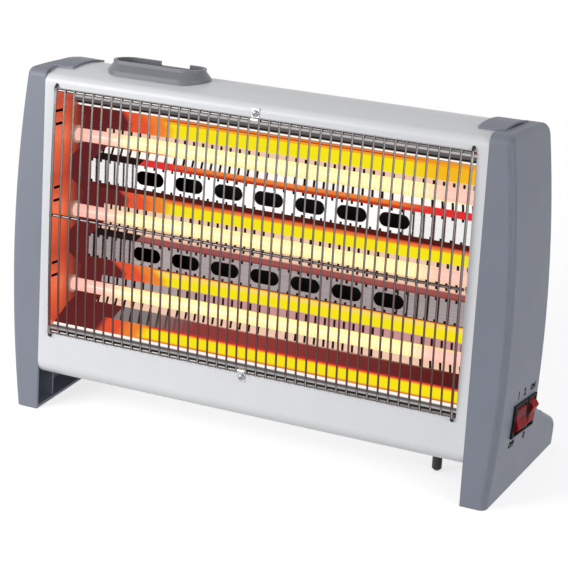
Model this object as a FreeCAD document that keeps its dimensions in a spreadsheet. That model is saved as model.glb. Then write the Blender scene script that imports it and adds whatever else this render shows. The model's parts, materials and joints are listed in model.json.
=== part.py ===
import FreeCAD, Part
import math
import os
import re
import Sketcher

# Free-standing radiant heater: three heating tubes before a polished reflector, behind a wire guard.
# A sheet casing leans back on two moulded end panels, which are also its feet.
# Every piece is drawn in the leaning frame of the casing: X to the right, Y back through the body,
# Z up along the front, with its origin under the front edge. All lengths are in millimetres.

doc = FreeCAD.newDocument("radiant_heater")

SIZES = {
    # Stance and sheet casing
    "lean_angle": 7,
    "casing_width": 436,
    "casing_depth": 90,
    "casing_lift": 36,
    "crown_height": 329.2,
    "crown_radius": 130,
    "crown_setback": 45,
    "sheet_gauge": 1.2,
    "casing_top_round": 8,
    "casing_low_round": 12,
    "casing_rear_round": 6,
    "window_margin": 9.8,
    "window_bottom": 77.8,
    "window_drop": 18,
    "seat_gap": 0.2,
    # Rear cover
    "hatch_margin": 18,
    "hatch_bottom": 60,
    "hatch_drop": 39.2,
    "cover_lap": 8,
    "cover_round": 6,
    "cover_slot_length": 40,
    "cover_slot_width": 4,
    "cover_slot_pitch": 54,
    "cover_slot_count": 7,
    "cover_row_low": 120,
    "cover_row_step": 60,
    "gland_inset": 68,
    "gland_level": 75,
    "gland_bore": 7,
    "gland_neck": 11.2,
    "gland_flange": 14,
    "gland_flange_gauge": 2,
    "gland_depth": 5,
    # End panels
    "foot_length": 160,
    "panel_rise": 2.2,
    "panel_drop": 1,
    "panel_crown_radius": 600,
    "tongue_lap": 6,
    "panel_wall": 2.6,
    "panel_thickness": 32.7,
    "barrel_radius": 1250,
    "barrel_level": 150.7,
    "heel_height": 72,
    "toe_height": 24,
    "panel_front_round": 8,
    "panel_rear_round": 12,
    "heel_round": 18.5,
    "toe_round": 15,
    "panel_edge_round": 6,
    "tongue_reach": 18,
    "tongue_margin": 18,
    "boss_gauge": 9,
    "boss_inset": 11,
    "boss_low": 48,
    "boss_drop": 34.2,
    "rib_gauge": 2,
    "rib_inset": 2,
    "rib_height": 56,
    "rib_front_setback": 30,
    "rib_rear_setback": 110,
    # Screws
    "screw_gauge": 2.9,
    "screw_head": 6,
    "screw_head_gauge": 2,
    "screw_length": 7,
    "panel_screw_gauge": 3.9,
    "panel_screw_head": 7,
    "panel_screw_length": 14,
    "screw_clearance": 0.3,
    # Wire guard and its clips
    "wire_pitch": 10,
    "wire_gauge": 2,
    "edge_wire_gauge": 3,
    "cross_wire_gauge": 3,
    "guard_margin": 13,
    "guard_bottom": 80,
    "guard_drop": 2.2,
    "guard_cross_drop": 2.1,
    "guard_stand": 2.2,
    "guard_bow": 2.8,
    "weld_depth": 0.4,
    "wire_overrun": 1.6,
    "cross_overrun": 2.3,
    "hook_reach": 4.7,
    "hook_length": 3.5,
    "hook_gauge": 2.2,
    "hook_clearance": 0.3,
    "clip_width": 7.4,
    "clip_gauge": 0.6,
    "clip_gap": 0.1,
    "clip_screw_reach": 5.7,
    "clip_length": 9.5,
    # Heating tubes and what holds them
    "tube_drop": 48.6,
    "tube_rise": 40.5,
    "tube_setback": 37.7,
    "tube_gauge": 12,
    "tube_wall": 1.5,
    "tube_inset": 4.2,
    "collar_gap": 0.1,
    "collar_wall": 0.95,
    "collar_flange": 17,
    "collar_flange_gauge": 4.1,
    "collar_stand": 4,
    "pin_gauge": 2.4,
    "pin_gap": 0.2,
    "pin_reach": 10,
    "link_gauge": 0.8,
    "link_width": 8,
    "tab_length": 22,
    "bracket_inset": 8,
    "bracket_rise": 3,
    "slit_setback": 11,
    "slit_length": 12,
    "slit_width": 2.6,
    "slit_rise": 12,
    "slit_step": 12.3,
    # Reflector
    "reflector_gauge": 0.8,
    "reflector_front": 4,
    "reflector_band": 34,
    "reflector_rear_inset": 32,
    "reflector_drop": 1,
    "reflector_bottom": 81,
    "reflector_brow_setback": 32,
    "reflector_brow_rise": 38,
    "trough_rise": 13,
    "trough_drop": 11,
    "trough_radius": 20,
    "band_top_drop": 19.5,
    "band_height": 22,
    "vent_length": 29,
    "vent_width": 13,
    "vent_pitch": 41.1,
    "vent_count": 7,
    # Switches in the right panel
    "switch_level": 73.6,
    "switch_one_setback": 45,
    "switch_two_setback": 72,
    "bezel_one_width": 29.4,
    "bezel_two_width": 20,
    "bezel_height": 30.3,
    "bezel_gauge": 2,
    "bezel_border": 3.2,
    "bezel_seat": 0.15,
    "switch_depth": 20,
    "switch_wall": 1.5,
    "switch_end_wall": 1,
    "switch_well": 11,
    "cutout_gap": 0.4,
    "rocker_radius": 12.8,
    "rocker_edge": 10,
    "rocker_valley": 8.3,
    "rocker_skirt": 1.8,
    "rocker_gap": 0.3,
    "rocker_end_gap": 0.35,
    "rocker_tilt": 12,
    "pivot_gauge": 3,
    "pivot_depth": 5.5,
    "pivot_gap": 0.1,
    "pivot_reach": 1.2,
    # Tip-over switch
    "plunger_inset": 45.1,
    "plunger_rear_inset": 35.7,
    "plunger_gauge": 9,
    "plunger_tip_chamfer": 2,
    "plunger_floor_gap": 0.6,
    "plunger_stroke": 8,
    "plunger_flange": 14,
    "plunger_flange_gauge": 2,
    "plunger_neck": 6,
    "plunger_gap": 0.16,
    "plunger_stop_gap": 0.3,
    "guide_gauge": 12.6,
    "guide_flange": 16,
    "guide_flange_gauge": 2,
    "guide_drop": 3,
    "guide_height": 8,
    "guide_clearance": 0.2,
    "tip_switch_width": 28,
    "tip_switch_depth": 14,
    "tip_switch_height": 14,
    "tip_button_gauge": 4,
    "tip_button_height": 4,
    "tip_bracket_foot": 14,
    "terminal_inset": 98,
    "terminal_length": 36,
    "terminal_depth": 16,
    "terminal_height": 13,
    "terminal_rear_inset": 40,
    "terminal_screw": 4,
    "terminal_screw_depth": 5,
    # Humidifier tray
    "tray_inset": 98.5,
    "tray_setback": 37,
    "tray_length": 102,
    "tray_width": 42,
    "tray_skirt_rise": 1.5,
    "tray_rise": 10.1,
    "rim_length": 93,
    "rim_width": 31,
    "rim_height": 2.8,
    "bowl_length": 87,
    "bowl_width": 25,
    "bowl_wall": 2,
    "bowl_depth": 26,
    "tray_gap": 0.3,
    "opening_gap": 0.5,
    "notch_offset": 8.5,
    "notch_width": 31,
    "notch_depth": 4,
}

sheet = doc.addObject("Spreadsheet::Sheet", "Sizes")
for row, (name, number) in enumerate(SIZES.items(), start=1):
    sheet.set(f"A{row}", name)
    sheet.set(f"B{row}", str(number))
    sheet.setAlias(f"B{row}", name)
doc.recompute()

# Two positions this near, in millimetres, count as one when an edge or face is picked out.
CLOSE = 0.01

# Expressions that several pieces share
HALF = "(casing_width / 2)"
LEAN = "(lean_angle * 1deg)"
CROWN_LEVEL = "(crown_height - crown_radius)"
TONGUE_CROWN = "(crown_radius + panel_rise)"
PANEL_REAR = "(casing_depth + panel_rise)"
BRACKET_OUTER = f"({HALF} - bracket_inset)"
BRACKET_INNER = f"({BRACKET_OUTER} - sheet_gauge)"
FLOOR_INSIDE = "(casing_lift + sheet_gauge)"
SCREW_HOLE = "(screw_gauge + screw_clearance)"
PANEL_SCREW_HOLE = "(panel_screw_gauge + screw_clearance)"
WINDOW_TOP = "(crown_height - window_drop)"
HATCH_TOP = "(crown_height - hatch_drop)"
GUARD_TOP = f"({WINDOW_TOP} - guard_drop)"
GUARD_MIDDLE = f"(({GUARD_TOP} + guard_bottom) / 2)"
REFLECTOR_TOP = f"({WINDOW_TOP} - reflector_drop)"
REFLECTOR_BACK = "(casing_depth - reflector_rear_inset)"
TUBE_TOP = f"({WINDOW_TOP} - tube_drop)"
TUBE_PITCH = f"(({TUBE_TOP} - window_bottom - tube_rise) / 2)"
TUBE_LEVELS = [f"({TUBE_TOP} - {place} * {TUBE_PITCH})" for place in range(3)]
BOSS_SETBACK = "(casing_depth - boss_inset)"
BOSS_LEVELS = ["boss_low", "(crown_height - boss_drop)"]
BOSS_POINTS = [(BOSS_SETBACK, level) for level in BOSS_LEVELS]
EDGE_WIRE = f"({HALF} - guard_margin)"
CROSS_SETBACK = "(wire_gauge / 2 - guard_stand - weld_depth + cross_wire_gauge / 2)"
HOOK_LEVELS = [f"({GUARD_TOP} + hook_reach)", "(guard_bottom - hook_reach)"]
CLIP_SCREW_LEVELS = [f"({GUARD_TOP} + clip_screw_reach)", "(guard_bottom - clip_screw_reach)"]
PLUNGER_SETBACK = "(casing_depth - plunger_rear_inset)"
TERMINAL_SETBACK = "(casing_depth - terminal_rear_inset)"
PLUNGER_X = f"({HALF} - plunger_inset)"
GLAND_X = f"({HALF} - gland_inset)"
COVER_HALF = f"({HALF} - hatch_margin + cover_lap)"
BOWL_OUTER_LENGTH = "(bowl_length + 2 * bowl_wall)"
BOWL_OUTER_WIDTH = "(bowl_width + 2 * bowl_wall)"
TRAY_X = f"(tray_inset - {HALF})"
TRAY_TOP = "(crown_height + tray_rise)"
GUIDE_TOP = f"({FLOOR_INSIDE} + guide_height)"
PLUNGER_FLANGE_LOW = f"({GUIDE_TOP} + plunger_stroke + plunger_stop_gap)"
PLUNGER_TOP = f"({PLUNGER_FLANGE_LOW} + plunger_flange_gauge + plunger_neck)"


def value(expression):
    """A size, or an expression of sizes, as a plain number."""
    return float(sheet.evalExpression(expression))


def full(expression):
    """The same expression written for use outside the sheet."""
    return re.sub(r"[a-z_]+", lambda word: ("Sizes." if word[0] in SIZES else "") + word[0], expression)


def crown(setback, radius="crown_radius"):
    """Level of the rounded top, or of a surface concentric with it, at a setback from the front."""
    return f"({CROWN_LEVEL} + sqrt({radius}^2 - ({setback} - crown_setback)^2))"


def barrel(level):
    """How far an end panel's bowed outer face stands from its inner plane at a level."""
    return f"(panel_thickness - barrel_radius + sqrt(barrel_radius^2 - ({level} - barrel_level)^2))"


def leaning_frame():
    """Placement of the leaning frame, with the feet centred on the origin and flat on the floor."""
    turn = FreeCAD.Rotation(FreeCAD.Vector(-1, 0, 0), value("lean_angle"))
    return FreeCAD.Placement(FreeCAD.Vector(0, -value("foot_length") / 2, 0), turn)


def new_body(label):
    body = doc.addObject("PartDesign::Body", label)
    body.Label = label
    body.Placement = leaning_frame()
    return body


def origin_item(body, role):
    return next(item for item in body.Origin.OriginFeatures if item.Role == role)


def new_sketch(body, plane, offset="0"):
    """A sketch on one of the body's planes, moved along the plane's normal by an offset."""
    sketch = body.newObject("Sketcher::SketchObject", body.Name + "_sketch")
    sketch.AttachmentSupport = [(origin_item(body, plane + "_Plane"), "")]
    sketch.MapMode = "FlatFace"
    sketch.setExpression("AttachmentOffset.Base.z", full(offset))
    return sketch


def fix_point(sketch, item, end, across, up):
    """Hold one point of a sketch at its distances from the sketch's origin."""
    for kind, axis, distance in (("DistanceX", -2, across), ("DistanceY", -1, up)):
        if distance == "0":
            sketch.addConstraint(Sketcher.Constraint("PointOnObject", item, end, axis))
        else:
            rule = Sketcher.Constraint(kind, -1, 1, item, end, value(distance))
            number = sketch.addConstraint(rule)
            sketch.setExpression(f"Constraints[{number}]", full(distance))


def fix_radius(sketch, item, radius):
    number = sketch.addConstraint(Sketcher.Constraint("Radius", item, value(radius)))
    sketch.setExpression(f"Constraints[{number}]", full(radius))


def arc_between(start, finish, radius, turn):
    """The lesser arc from start to finish, anticlockwise for a turn of 1 and clockwise for -1."""
    chord = finish - start
    aside = FreeCAD.Vector(-chord.y, chord.x, 0).normalize() * turn
    centre = (start + finish) * 0.5 + aside * math.sqrt(radius**2 - (chord.Length / 2) ** 2)
    first, last = (start, finish) if turn > 0 else (finish, start)
    angles = [math.atan2(point.y - centre.y, point.x - centre.x) for point in (first, last)]
    if angles[1] < angles[0]:
        angles[1] += 2 * math.pi
    return Part.ArcOfCircle(Part.Circle(centre, FreeCAD.Vector(0, 0, 1), radius), *angles)


def outline(sketch, corners):
    """A closed outline. A corner is (across, up), with (radius, turn) added where an arc follows it."""
    points = [FreeCAD.Vector(value(corner[0]), value(corner[1]), 0) for corner in corners]
    sides = []
    for place, corner in enumerate(corners):
        start = points[place]
        finish = points[(place + 1) % len(points)]
        if len(corner) == 2:
            item = sketch.addGeometry(Part.LineSegment(start, finish))
            sides.append((item, 1, 2))
        else:
            item = sketch.addGeometry(arc_between(start, finish, value(corner[2]), corner[3]))
            sides.append((item, 1, 2) if corner[3] > 0 else (item, 2, 1))
    for place, (item, start, finish) in enumerate(sides):
        following = sides[(place + 1) % len(sides)]
        sketch.addConstraint(Sketcher.Constraint("Coincident", item, finish, following[0], following[1]))
    for (item, start, finish), corner in zip(sides, corners):
        fix_point(sketch, item, start, corner[0], corner[1])
        if len(corner) > 2:
            fix_radius(sketch, item, corner[2])


def rectangle(sketch, left, right, low, high):
    outline(sketch, [(left, low), (right, low), (right, high), (left, high)])


def circle(sketch, across, up, gauge):
    centre = FreeCAD.Vector(value(across), value(up), 0)
    radius = f"({gauge}) / 2"
    item = sketch.addGeometry(Part.Circle(centre, FreeCAD.Vector(0, 0, 1), value(radius)))
    fix_point(sketch, item, 3, across, up)
    fix_radius(sketch, item, radius)


def hexagon(sketch, across, up, gauge):
    """A six-sided wire section, as wide as the gauge from corner to corner along the first axis."""
    corners = []
    for place in range(6):
        turn = f"{place * 60}deg"
        corners.append((f"{across} + {gauge} / 2 * cos({turn})", f"{up} + {gauge} / 2 * sin({turn})"))
    outline(sketch, corners)


def slot(sketch, across, up, length, width):
    """A round-ended slot about a centre, lying along the sketch's first axis."""
    reach = f"(({length}) - ({width})) / 2"
    radius = value(f"({width}) / 2")
    up_radius = FreeCAD.Vector(0, radius, 0)
    middle = FreeCAD.Vector(value(across), value(up), 0)
    ahead = middle + FreeCAD.Vector(value(reach), 0, 0)
    behind = middle - FreeCAD.Vector(value(reach), 0, 0)
    quarter = math.pi / 2
    normal = FreeCAD.Vector(0, 0, 1)
    first = sketch.addGeometry(Part.ArcOfCircle(Part.Circle(ahead, normal, radius), -quarter, quarter))
    second = sketch.addGeometry(Part.ArcOfCircle(Part.Circle(behind, normal, radius), quarter, 3 * quarter))
    top_side = sketch.addGeometry(Part.LineSegment(ahead + up_radius, behind + up_radius))
    low_side = sketch.addGeometry(Part.LineSegment(behind - up_radius, ahead - up_radius))
    for arc, arc_end, line, line_end in (
        (first, 2, top_side, 1),
        (second, 1, top_side, 2),
        (second, 2, low_side, 1),
        (first, 1, low_side, 2),
    ):
        sketch.addConstraint(Sketcher.Constraint("Tangent", arc, arc_end, line, line_end))
    fix_point(sketch, first, 3, f"{across} + {reach}", up)
    fix_point(sketch, second, 3, f"{across} - {reach}", up)
    fix_radius(sketch, first, f"({width}) / 2")


def bind(item, prop, expression):
    item.setExpression(prop, full(expression))


def pad(body, sketch, length, backwards=False, both_ways=False):
    feature = body.newObject("PartDesign::Pad", body.Name + "_pad")
    feature.Profile = sketch
    bind(feature, "Length", length)
    feature.SideType = "Symmetric" if both_ways else "One side"
    feature.Reversed = backwards
    body.Tip = feature
    doc.recompute()
    return feature


def pocket(body, sketch, length=None, backwards=False, both_ways=False):
    """Cut a sketch into the body by a length, or right through where none is given."""
    volume = body.Shape.Volume
    feature = body.newObject("PartDesign::Pocket", body.Name + "_pocket")
    feature.Profile = sketch
    if length is None:
        feature.Type = "ThroughAll"
    else:
        bind(feature, "Length", length)
    feature.SideType = "Symmetric" if both_ways else "One side"
    feature.Reversed = backwards
    body.Tip = feature
    doc.recompute()
    if not body.Shape.Volume < volume:
        raise RuntimeError(f"{feature.Name} in {body.Label} cuts nothing")
    return feature


def repeat(body, feature, count, spacing):
    """Repeat a feature along X, from where it is towards the right."""
    pattern = body.newObject("PartDesign::LinearPattern", body.Name + "_row")
    pattern.Originals = [feature]
    pattern.Direction = (origin_item(body, "X_Axis"), [""])
    pattern.Mode = "Spacing"
    bind(pattern, "Offset", spacing)
    bind(pattern, "Occurrences", count)
    body.Tip = pattern
    doc.recompute()


def round_edges(body, radius, chosen):
    """Fillet the edges of the body that a test chooses."""
    base = body.Tip
    names = [f"Edge{place}" for place, edge in enumerate(base.Shape.Edges, start=1) if chosen(edge)]
    fillet = body.newObject("PartDesign::Fillet", body.Name + "_round")
    fillet.Base = (base, names)
    bind(fillet, "Radius", radius)
    body.Tip = fillet
    doc.recompute()


def bevel_edges(body, reach, chosen):
    """Chamfer the edges of the body that a test chooses."""
    base = body.Tip
    names = [f"Edge{place}" for place, edge in enumerate(base.Shape.Edges, start=1) if chosen(edge)]
    chamfer = body.newObject("PartDesign::Chamfer", body.Name + "_bevel")
    chamfer.Base = (base, names)
    bind(chamfer, "Size", reach)
    body.Tip = chamfer
    doc.recompute()


def lies_along_x(setback, level):
    """A test for the edge that runs along X at one setback and level."""
    wanted = FreeCAD.Vector(0, value(setback), value(level))

    def chosen(edge):
        ends = [FreeCAD.Vector(0, vertex.Y, vertex.Z) for vertex in edge.Vertexes]
        return all((end - wanted).Length < CLOSE for end in ends)

    return chosen


def lies_on_floor():
    """A test for edges in the plane that the feet stand on."""
    lean = math.radians(value("lean_angle"))

    def chosen(edge):
        heights = [vertex.Z * math.cos(lean) - vertex.Y * math.sin(lean) for vertex in edge.Vertexes]
        return all(abs(height) < CLOSE for height in heights)

    return chosen


def shell(body, wall, is_open):
    """Hollow the body to a wall thickness, leaving out the faces that a test finds open."""
    base = body.Tip
    names = [f"Face{place}" for place, face in enumerate(base.Shape.Faces, start=1) if is_open(face)]
    hollow = body.newObject("PartDesign::Thickness", body.Name + "_shell")
    hollow.Base = (base, names)
    hollow.Join = "Intersection"
    bind(hollow, "Value", wall)
    body.Tip = hollow
    doc.recompute()


def faces_along_x(face):
    normal = face.normalAt(0, 0)
    return isinstance(face.Surface, Part.Plane) and abs(normal.x) > 0.999


def make_casing():
    """Sheet casing: rounded top, large front window, rear hatch and holes for what it carries."""
    body = new_body("front_casing")
    profile = new_sketch(body, "YZ")
    outline(profile, [
        ("0", "casing_lift"),
        ("casing_depth", "casing_lift"),
        ("casing_depth", crown("casing_depth"), "crown_radius", 1),
        ("0", crown("0")),
    ])
    pad(body, profile, "casing_width", both_ways=True)
    round_edges(body, "casing_low_round", lies_along_x("0", "casing_lift"))
    round_edges(body, "casing_rear_round", lies_along_x("casing_depth", "casing_lift"))
    round_edges(body, "casing_top_round", lies_along_x("casing_depth", crown("casing_depth")))
    round_edges(body, "casing_top_round", lies_along_x("0", crown("0")))
    shell(body, "sheet_gauge", faces_along_x)

    front = new_sketch(body, "XZ")
    side = f"({HALF} - window_margin)"
    rectangle(front, f"-{side}", side, "window_bottom", WINDOW_TOP)
    for level in CLIP_SCREW_LEVELS:
        circle(front, "0", level, SCREW_HOLE)
    for level in HOOK_LEVELS:
        for sign in ("", "-"):
            across = sign + EDGE_WIRE
            reach = "(hook_gauge / 2 + hook_clearance)"
            rectangle(front, f"{across} - {reach}", f"{across} + {reach}",
                      f"{level} - {reach}", f"{level} + {reach}")
    pocket(body, front, "2 * sheet_gauge")

    rear = new_sketch(body, "XZ", "2 * sheet_gauge - casing_depth")
    side = f"({HALF} - hatch_margin)"
    rectangle(rear, f"-{side}", side, "hatch_bottom", HATCH_TOP)
    pocket(body, rear)

    top = new_sketch(body, "XY", CROWN_LEVEL)
    slot(top, TRAY_X, "tray_setback",
         f"{BOWL_OUTER_LENGTH} + 2 * opening_gap", f"{BOWL_OUTER_WIDTH} + 2 * opening_gap")
    pocket(body, top, backwards=True)

    bottom = new_sketch(body, "XY", "2 * casing_lift")
    circle(bottom, PLUNGER_X, PLUNGER_SETBACK, "guide_gauge + guide_clearance")
    pocket(body, bottom)
    return body


def make_rear_cover():
    """Flat plate over the rear hatch, with rows of air slots and the hole for the cord's bush."""
    body = new_body("rear_cover")
    plate = new_sketch(body, "XZ", "-casing_depth")
    low = "hatch_bottom - cover_lap"
    high = f"{HATCH_TOP} + cover_lap"
    rectangle(plate, f"-{COVER_HALF}", COVER_HALF, low, high)
    circle(plate, GLAND_X, "gland_level", "gland_neck + guide_clearance")
    pad(body, plate, "sheet_gauge", backwards=True)
    corner_x = value(COVER_HALF)
    corner_levels = (value(low), value(high))

    def at_corner(edge):
        ends = [vertex.Point for vertex in edge.Vertexes]
        return all(
            abs(abs(end.x) - corner_x) < CLOSE and min(abs(end.z - level) for level in corner_levels) < CLOSE
            for end in ends
        ) and abs(ends[0].y - ends[-1].y) > 0.1

    round_edges(body, "cover_round", at_corner)
    slots = new_sketch(body, "XZ")
    first = "(-cover_slot_pitch * (cover_slot_count - 1) / 2)"
    for place in range(3):
        level = f"(cover_row_low + {place} * cover_row_step)"
        rectangle(slots, f"{first} - cover_slot_length / 2", f"{first} + cover_slot_length / 2",
                  f"{level} - cover_slot_width / 2", f"{level} + cover_slot_width / 2")
    repeat(body, pocket(body, slots), "cover_slot_count", "cover_slot_pitch")
    return body


def make_screws(label, plane, seat, points, gauge, head, head_gauge, length, heads_first):
    """Identical pan-head screws: heads on one side of a seat, shanks on the other."""
    body = new_body(label)
    heads = new_sketch(body, plane, seat)
    shanks = new_sketch(body, plane, seat)
    for across, up in points:
        circle(heads, across, up, head)
        circle(shanks, across, up, gauge)
    pad(body, heads, head_gauge, backwards=not heads_first)
    pad(body, shanks, length, backwards=heads_first)
    return body


def toe_slope():
    """Slope of a foot's upper side, from its heel down to its toe."""
    toe_top_setback = f"(foot_length * cos({LEAN}) - toe_height * sin({LEAN}))"
    toe_top_level = f"(foot_length * sin({LEAN}) + toe_height * cos({LEAN}))"
    return f"(({toe_top_level} - heel_height) / ({toe_top_setback} - {PANEL_REAR}))"


def panel_top(setback, radius):
    """Level of an end panel's nearly flat top, or of a surface concentric with it, at a setback."""
    centre = "(crown_height - panel_drop - panel_crown_radius)"
    return f"({centre} + sqrt({radius}^2 - ({setback} - crown_setback)^2))"


def bowed_solid(body, side, wall):
    """An end panel's outer form, or its hollow where a wall is given: a foot's outline with a bowed face."""
    slope = toe_slope()
    sole = f"(foot_length - {wall})"
    lowered = f"{wall} * sqrt(1 + {slope}^2)"
    slope_level = f"(heel_height + {slope} * ({sole} * cos({LEAN}) - {PANEL_REAR}) - {lowered})"
    toe_rise = f"(({slope_level} - {sole} * sin({LEAN})) / (cos({LEAN}) + {slope} * sin({LEAN})))"
    rear = f"({PANEL_REAR} - {wall})"
    top = f"(panel_crown_radius - {wall})"
    toe_back = f"{sole} * cos({LEAN}) - {toe_rise} * sin({LEAN})"
    toe_top = (toe_back, f"{sole} * sin({LEAN}) + {toe_rise} * cos({LEAN})")
    heel = f"heel_height - {slope} * {wall} - {lowered}"
    profile = new_sketch(body, "YZ", f"{side} * {HALF}")
    outline(profile, [
        (wall, f"{wall} * tan({LEAN}) + {wall} / cos({LEAN})"),
        (f"{sole} * cos({LEAN}) - {wall} * sin({LEAN})", f"{sole} * sin({LEAN}) + {wall} * cos({LEAN})"),
        toe_top,
        (rear, heel),
        (rear, panel_top(rear, top), top, 1),
        (wall, panel_top(wall, top)),
    ])
    pad(body, profile, "1.1 * panel_thickness", backwards=side < 0)
    for radius, setback, level in (
        (f"toe_round - {wall}", *toe_top),
        (f"heel_round + {wall}", rear, heel),
        (f"panel_rear_round - {wall}", rear, panel_top(rear, top)),
        (f"panel_front_round - {wall}", wall, panel_top(wall, top)),
    ):
        round_edges(body, radius, lies_along_x(setback, level))
    bow = new_sketch(body, "XZ")
    low = "(barrel_level - crown_height)"
    high = "(barrel_level + crown_height)"
    beyond = f"{side} * ({HALF} + 1.5 * panel_thickness)"
    outline(bow, [
        (f"{side} * ({HALF} + {barrel(low)} - {wall})", low),
        (beyond, low),
        (beyond, high),
        (f"{side} * ({HALF} + {barrel(high)} - {wall})", high, "barrel_radius", -side),
    ])
    pocket(body, bow, both_ways=True)


def make_end_panel(label, side):
    """Moulded end panel and foot: a bowed shell, open towards the casing. Side is 1 right, -1 left."""
    body = new_body(label)
    bowed_solid(body, side, "0")
    bowed = max(body.Tip.Shape.Faces, key=lambda face: abs(face.CenterOfMass.x))
    on_floor = lies_on_floor()
    round_edges(body, "panel_edge_round",
                lambda edge: any(edge.isSame(rim) for rim in bowed.Edges) and not on_floor(edge))
    hollow = doc.addObject("PartDesign::Body", label + "_hollow")
    bowed_solid(hollow, side, "panel_wall")
    cut = body.newObject("PartDesign::Boolean", label + "_cut")
    cut.Type = "Cut"
    cut.setObjects([hollow])
    body.Tip = cut
    doc.recompute()

    tongue = new_sketch(body, "YZ", f"{side} * ({HALF} + tongue_lap)")
    under = "(crown_radius + seat_gap)"
    ahead = "tongue_margin"
    behind = "(casing_depth - tongue_margin)"
    outline(tongue, [
        (ahead, crown(ahead, under), under, -1),
        (behind, crown(behind, under)),
        (behind, crown(behind, TONGUE_CROWN), TONGUE_CROWN, 1),
        (ahead, crown(ahead, TONGUE_CROWN)),
    ])
    pad(body, tongue, "tongue_lap + tongue_reach", backwards=side > 0)

    for level in BOSS_LEVELS:
        boss = new_sketch(body, "YZ", f"{side} * {BRACKET_OUTER}")
        circle(boss, BOSS_SETBACK, level, "boss_gauge")
        pad(body, boss, f"bracket_inset + {barrel(level)} - panel_wall / 2", backwards=side < 0)
    bores = new_sketch(body, "YZ", f"{side} * {BRACKET_OUTER}")
    for level in BOSS_LEVELS:
        circle(bores, BOSS_SETBACK, level, PANEL_SCREW_HOLE)
    pocket(body, bores, "panel_screw_length", backwards=side > 0)

    rear_rib_top = f"heel_height + {toe_slope()} * (rib_rear_setback - {PANEL_REAR}) - panel_wall / 2"
    for setback, high in (("rib_front_setback", "rib_height"), ("rib_rear_setback", rear_rib_top)):
        rib = new_sketch(body, "XZ", f"-{setback}")
        low = f"({setback} * tan({LEAN}) + panel_wall / 2)"
        shoulder = f"({low} + panel_edge_round)"
        near = f"{side} * ({HALF} + rib_inset)"
        outline(rib, [
            (near, low),
            (f"{side} * ({HALF} + {barrel(low)} - panel_wall / 2 - panel_edge_round)", low),
            (f"{side} * ({HALF} + {barrel(shoulder)} - panel_wall / 2)", shoulder),
            (f"{side} * ({HALF} + {barrel('(' + high + ')')} - panel_wall / 2)", high),
            (near, high),
        ])
        pad(body, rib, "rib_gauge", both_ways=True)
    return body


def make_right_panel():
    """The right panel, with the two holes that its switches snap into."""
    body = make_end_panel("right_end_panel", 1)
    holes = new_sketch(body, "YZ", f"{HALF} + {barrel('switch_level')} - switch_depth / 2")
    for setback, width in (
        ("switch_one_setback", "bezel_one_width"),
        ("switch_two_setback", "bezel_two_width"),
    ):
        reach = f"({width} / 2 - bezel_border + switch_wall + cutout_gap)"
        rise = "(rocker_radius + rocker_end_gap + switch_end_wall + 1.5 * cutout_gap)"
        rectangle(holes, f"{setback} - {reach}", f"{setback} + {reach}",
                  f"switch_level - {rise}", f"switch_level + {rise}")
    pocket(body, holes, backwards=True)
    return body


def make_guard():
    """Wire guard: bowed upright wires welded over three cross wires, hooked in at its corners."""
    body = new_body("front_guard")
    middle = GUARD_MIDDLE
    half_chord = f"(({GUARD_TOP} - guard_bottom) / 2)"
    bow_radius = f"(({half_chord}^2 + guard_bow^2) / (2 * guard_bow))"
    crest = "(-guard_stand - guard_bow)"
    gaps = f"(2 * round({EDGE_WIRE} / wire_pitch - 0.5) + 1)"
    spacing = f"(2 * {EDGE_WIRE} / {gaps})"
    plain = f"({half_chord} + wire_overrun)"
    hooked = f"({half_chord} + hook_reach + edge_wire_gauge / 2)"
    for start, gauge, reach, count, step in (
        (f"({spacing} - {EDGE_WIRE})", "wire_gauge", plain, f"{gaps} - 1", spacing),
        (f"(-{EDGE_WIRE})", "edge_wire_gauge", hooked, "2", f"2 * {EDGE_WIRE}"),
    ):
        wire = new_sketch(body, "XY", middle)
        hexagon(wire, start, crest, gauge)
        axis_setback = f"({crest} + {bow_radius})"
        axis = wire.addGeometry(Part.LineSegment(
            FreeCAD.Vector(value(start), value(axis_setback), 0),
            FreeCAD.Vector(value(start) + value("wire_pitch"), value(axis_setback), 0),
        ), True)
        fix_point(wire, axis, 1, start, axis_setback)
        fix_point(wire, axis, 2, f"{start} + wire_pitch", axis_setback)
        upright = body.newObject("PartDesign::Revolution", "guard_wire")
        upright.Profile = wire
        upright.ReferenceAxis = (wire, ["Axis0"])
        bind(upright, "Angle", f"2 * asin({reach} / {bow_radius})")
        upright.Midplane = True
        body.Tip = upright
        doc.recompute()
        repeat(body, upright, count, step)

    cross = new_sketch(body, "YZ")
    hexagon(cross, CROSS_SETBACK, GUARD_TOP, "cross_wire_gauge")
    hexagon(cross, CROSS_SETBACK, "guard_bottom", "cross_wire_gauge")
    cross_level = f"({GUARD_MIDDLE} - guard_cross_drop)"
    hexagon(cross, f"({CROSS_SETBACK} - guard_bow)", cross_level, "cross_wire_gauge")
    pad(body, cross, f"2 * ({EDGE_WIRE} + cross_overrun)", both_ways=True)

    hooks = new_sketch(body, "XZ", "-hook_length")
    for level in HOOK_LEVELS:
        for sign in ("", "-"):
            hexagon(hooks, sign + EDGE_WIRE, level, "hook_gauge")
    pad(body, hooks, "hook_length + guard_stand")
    return body


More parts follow.
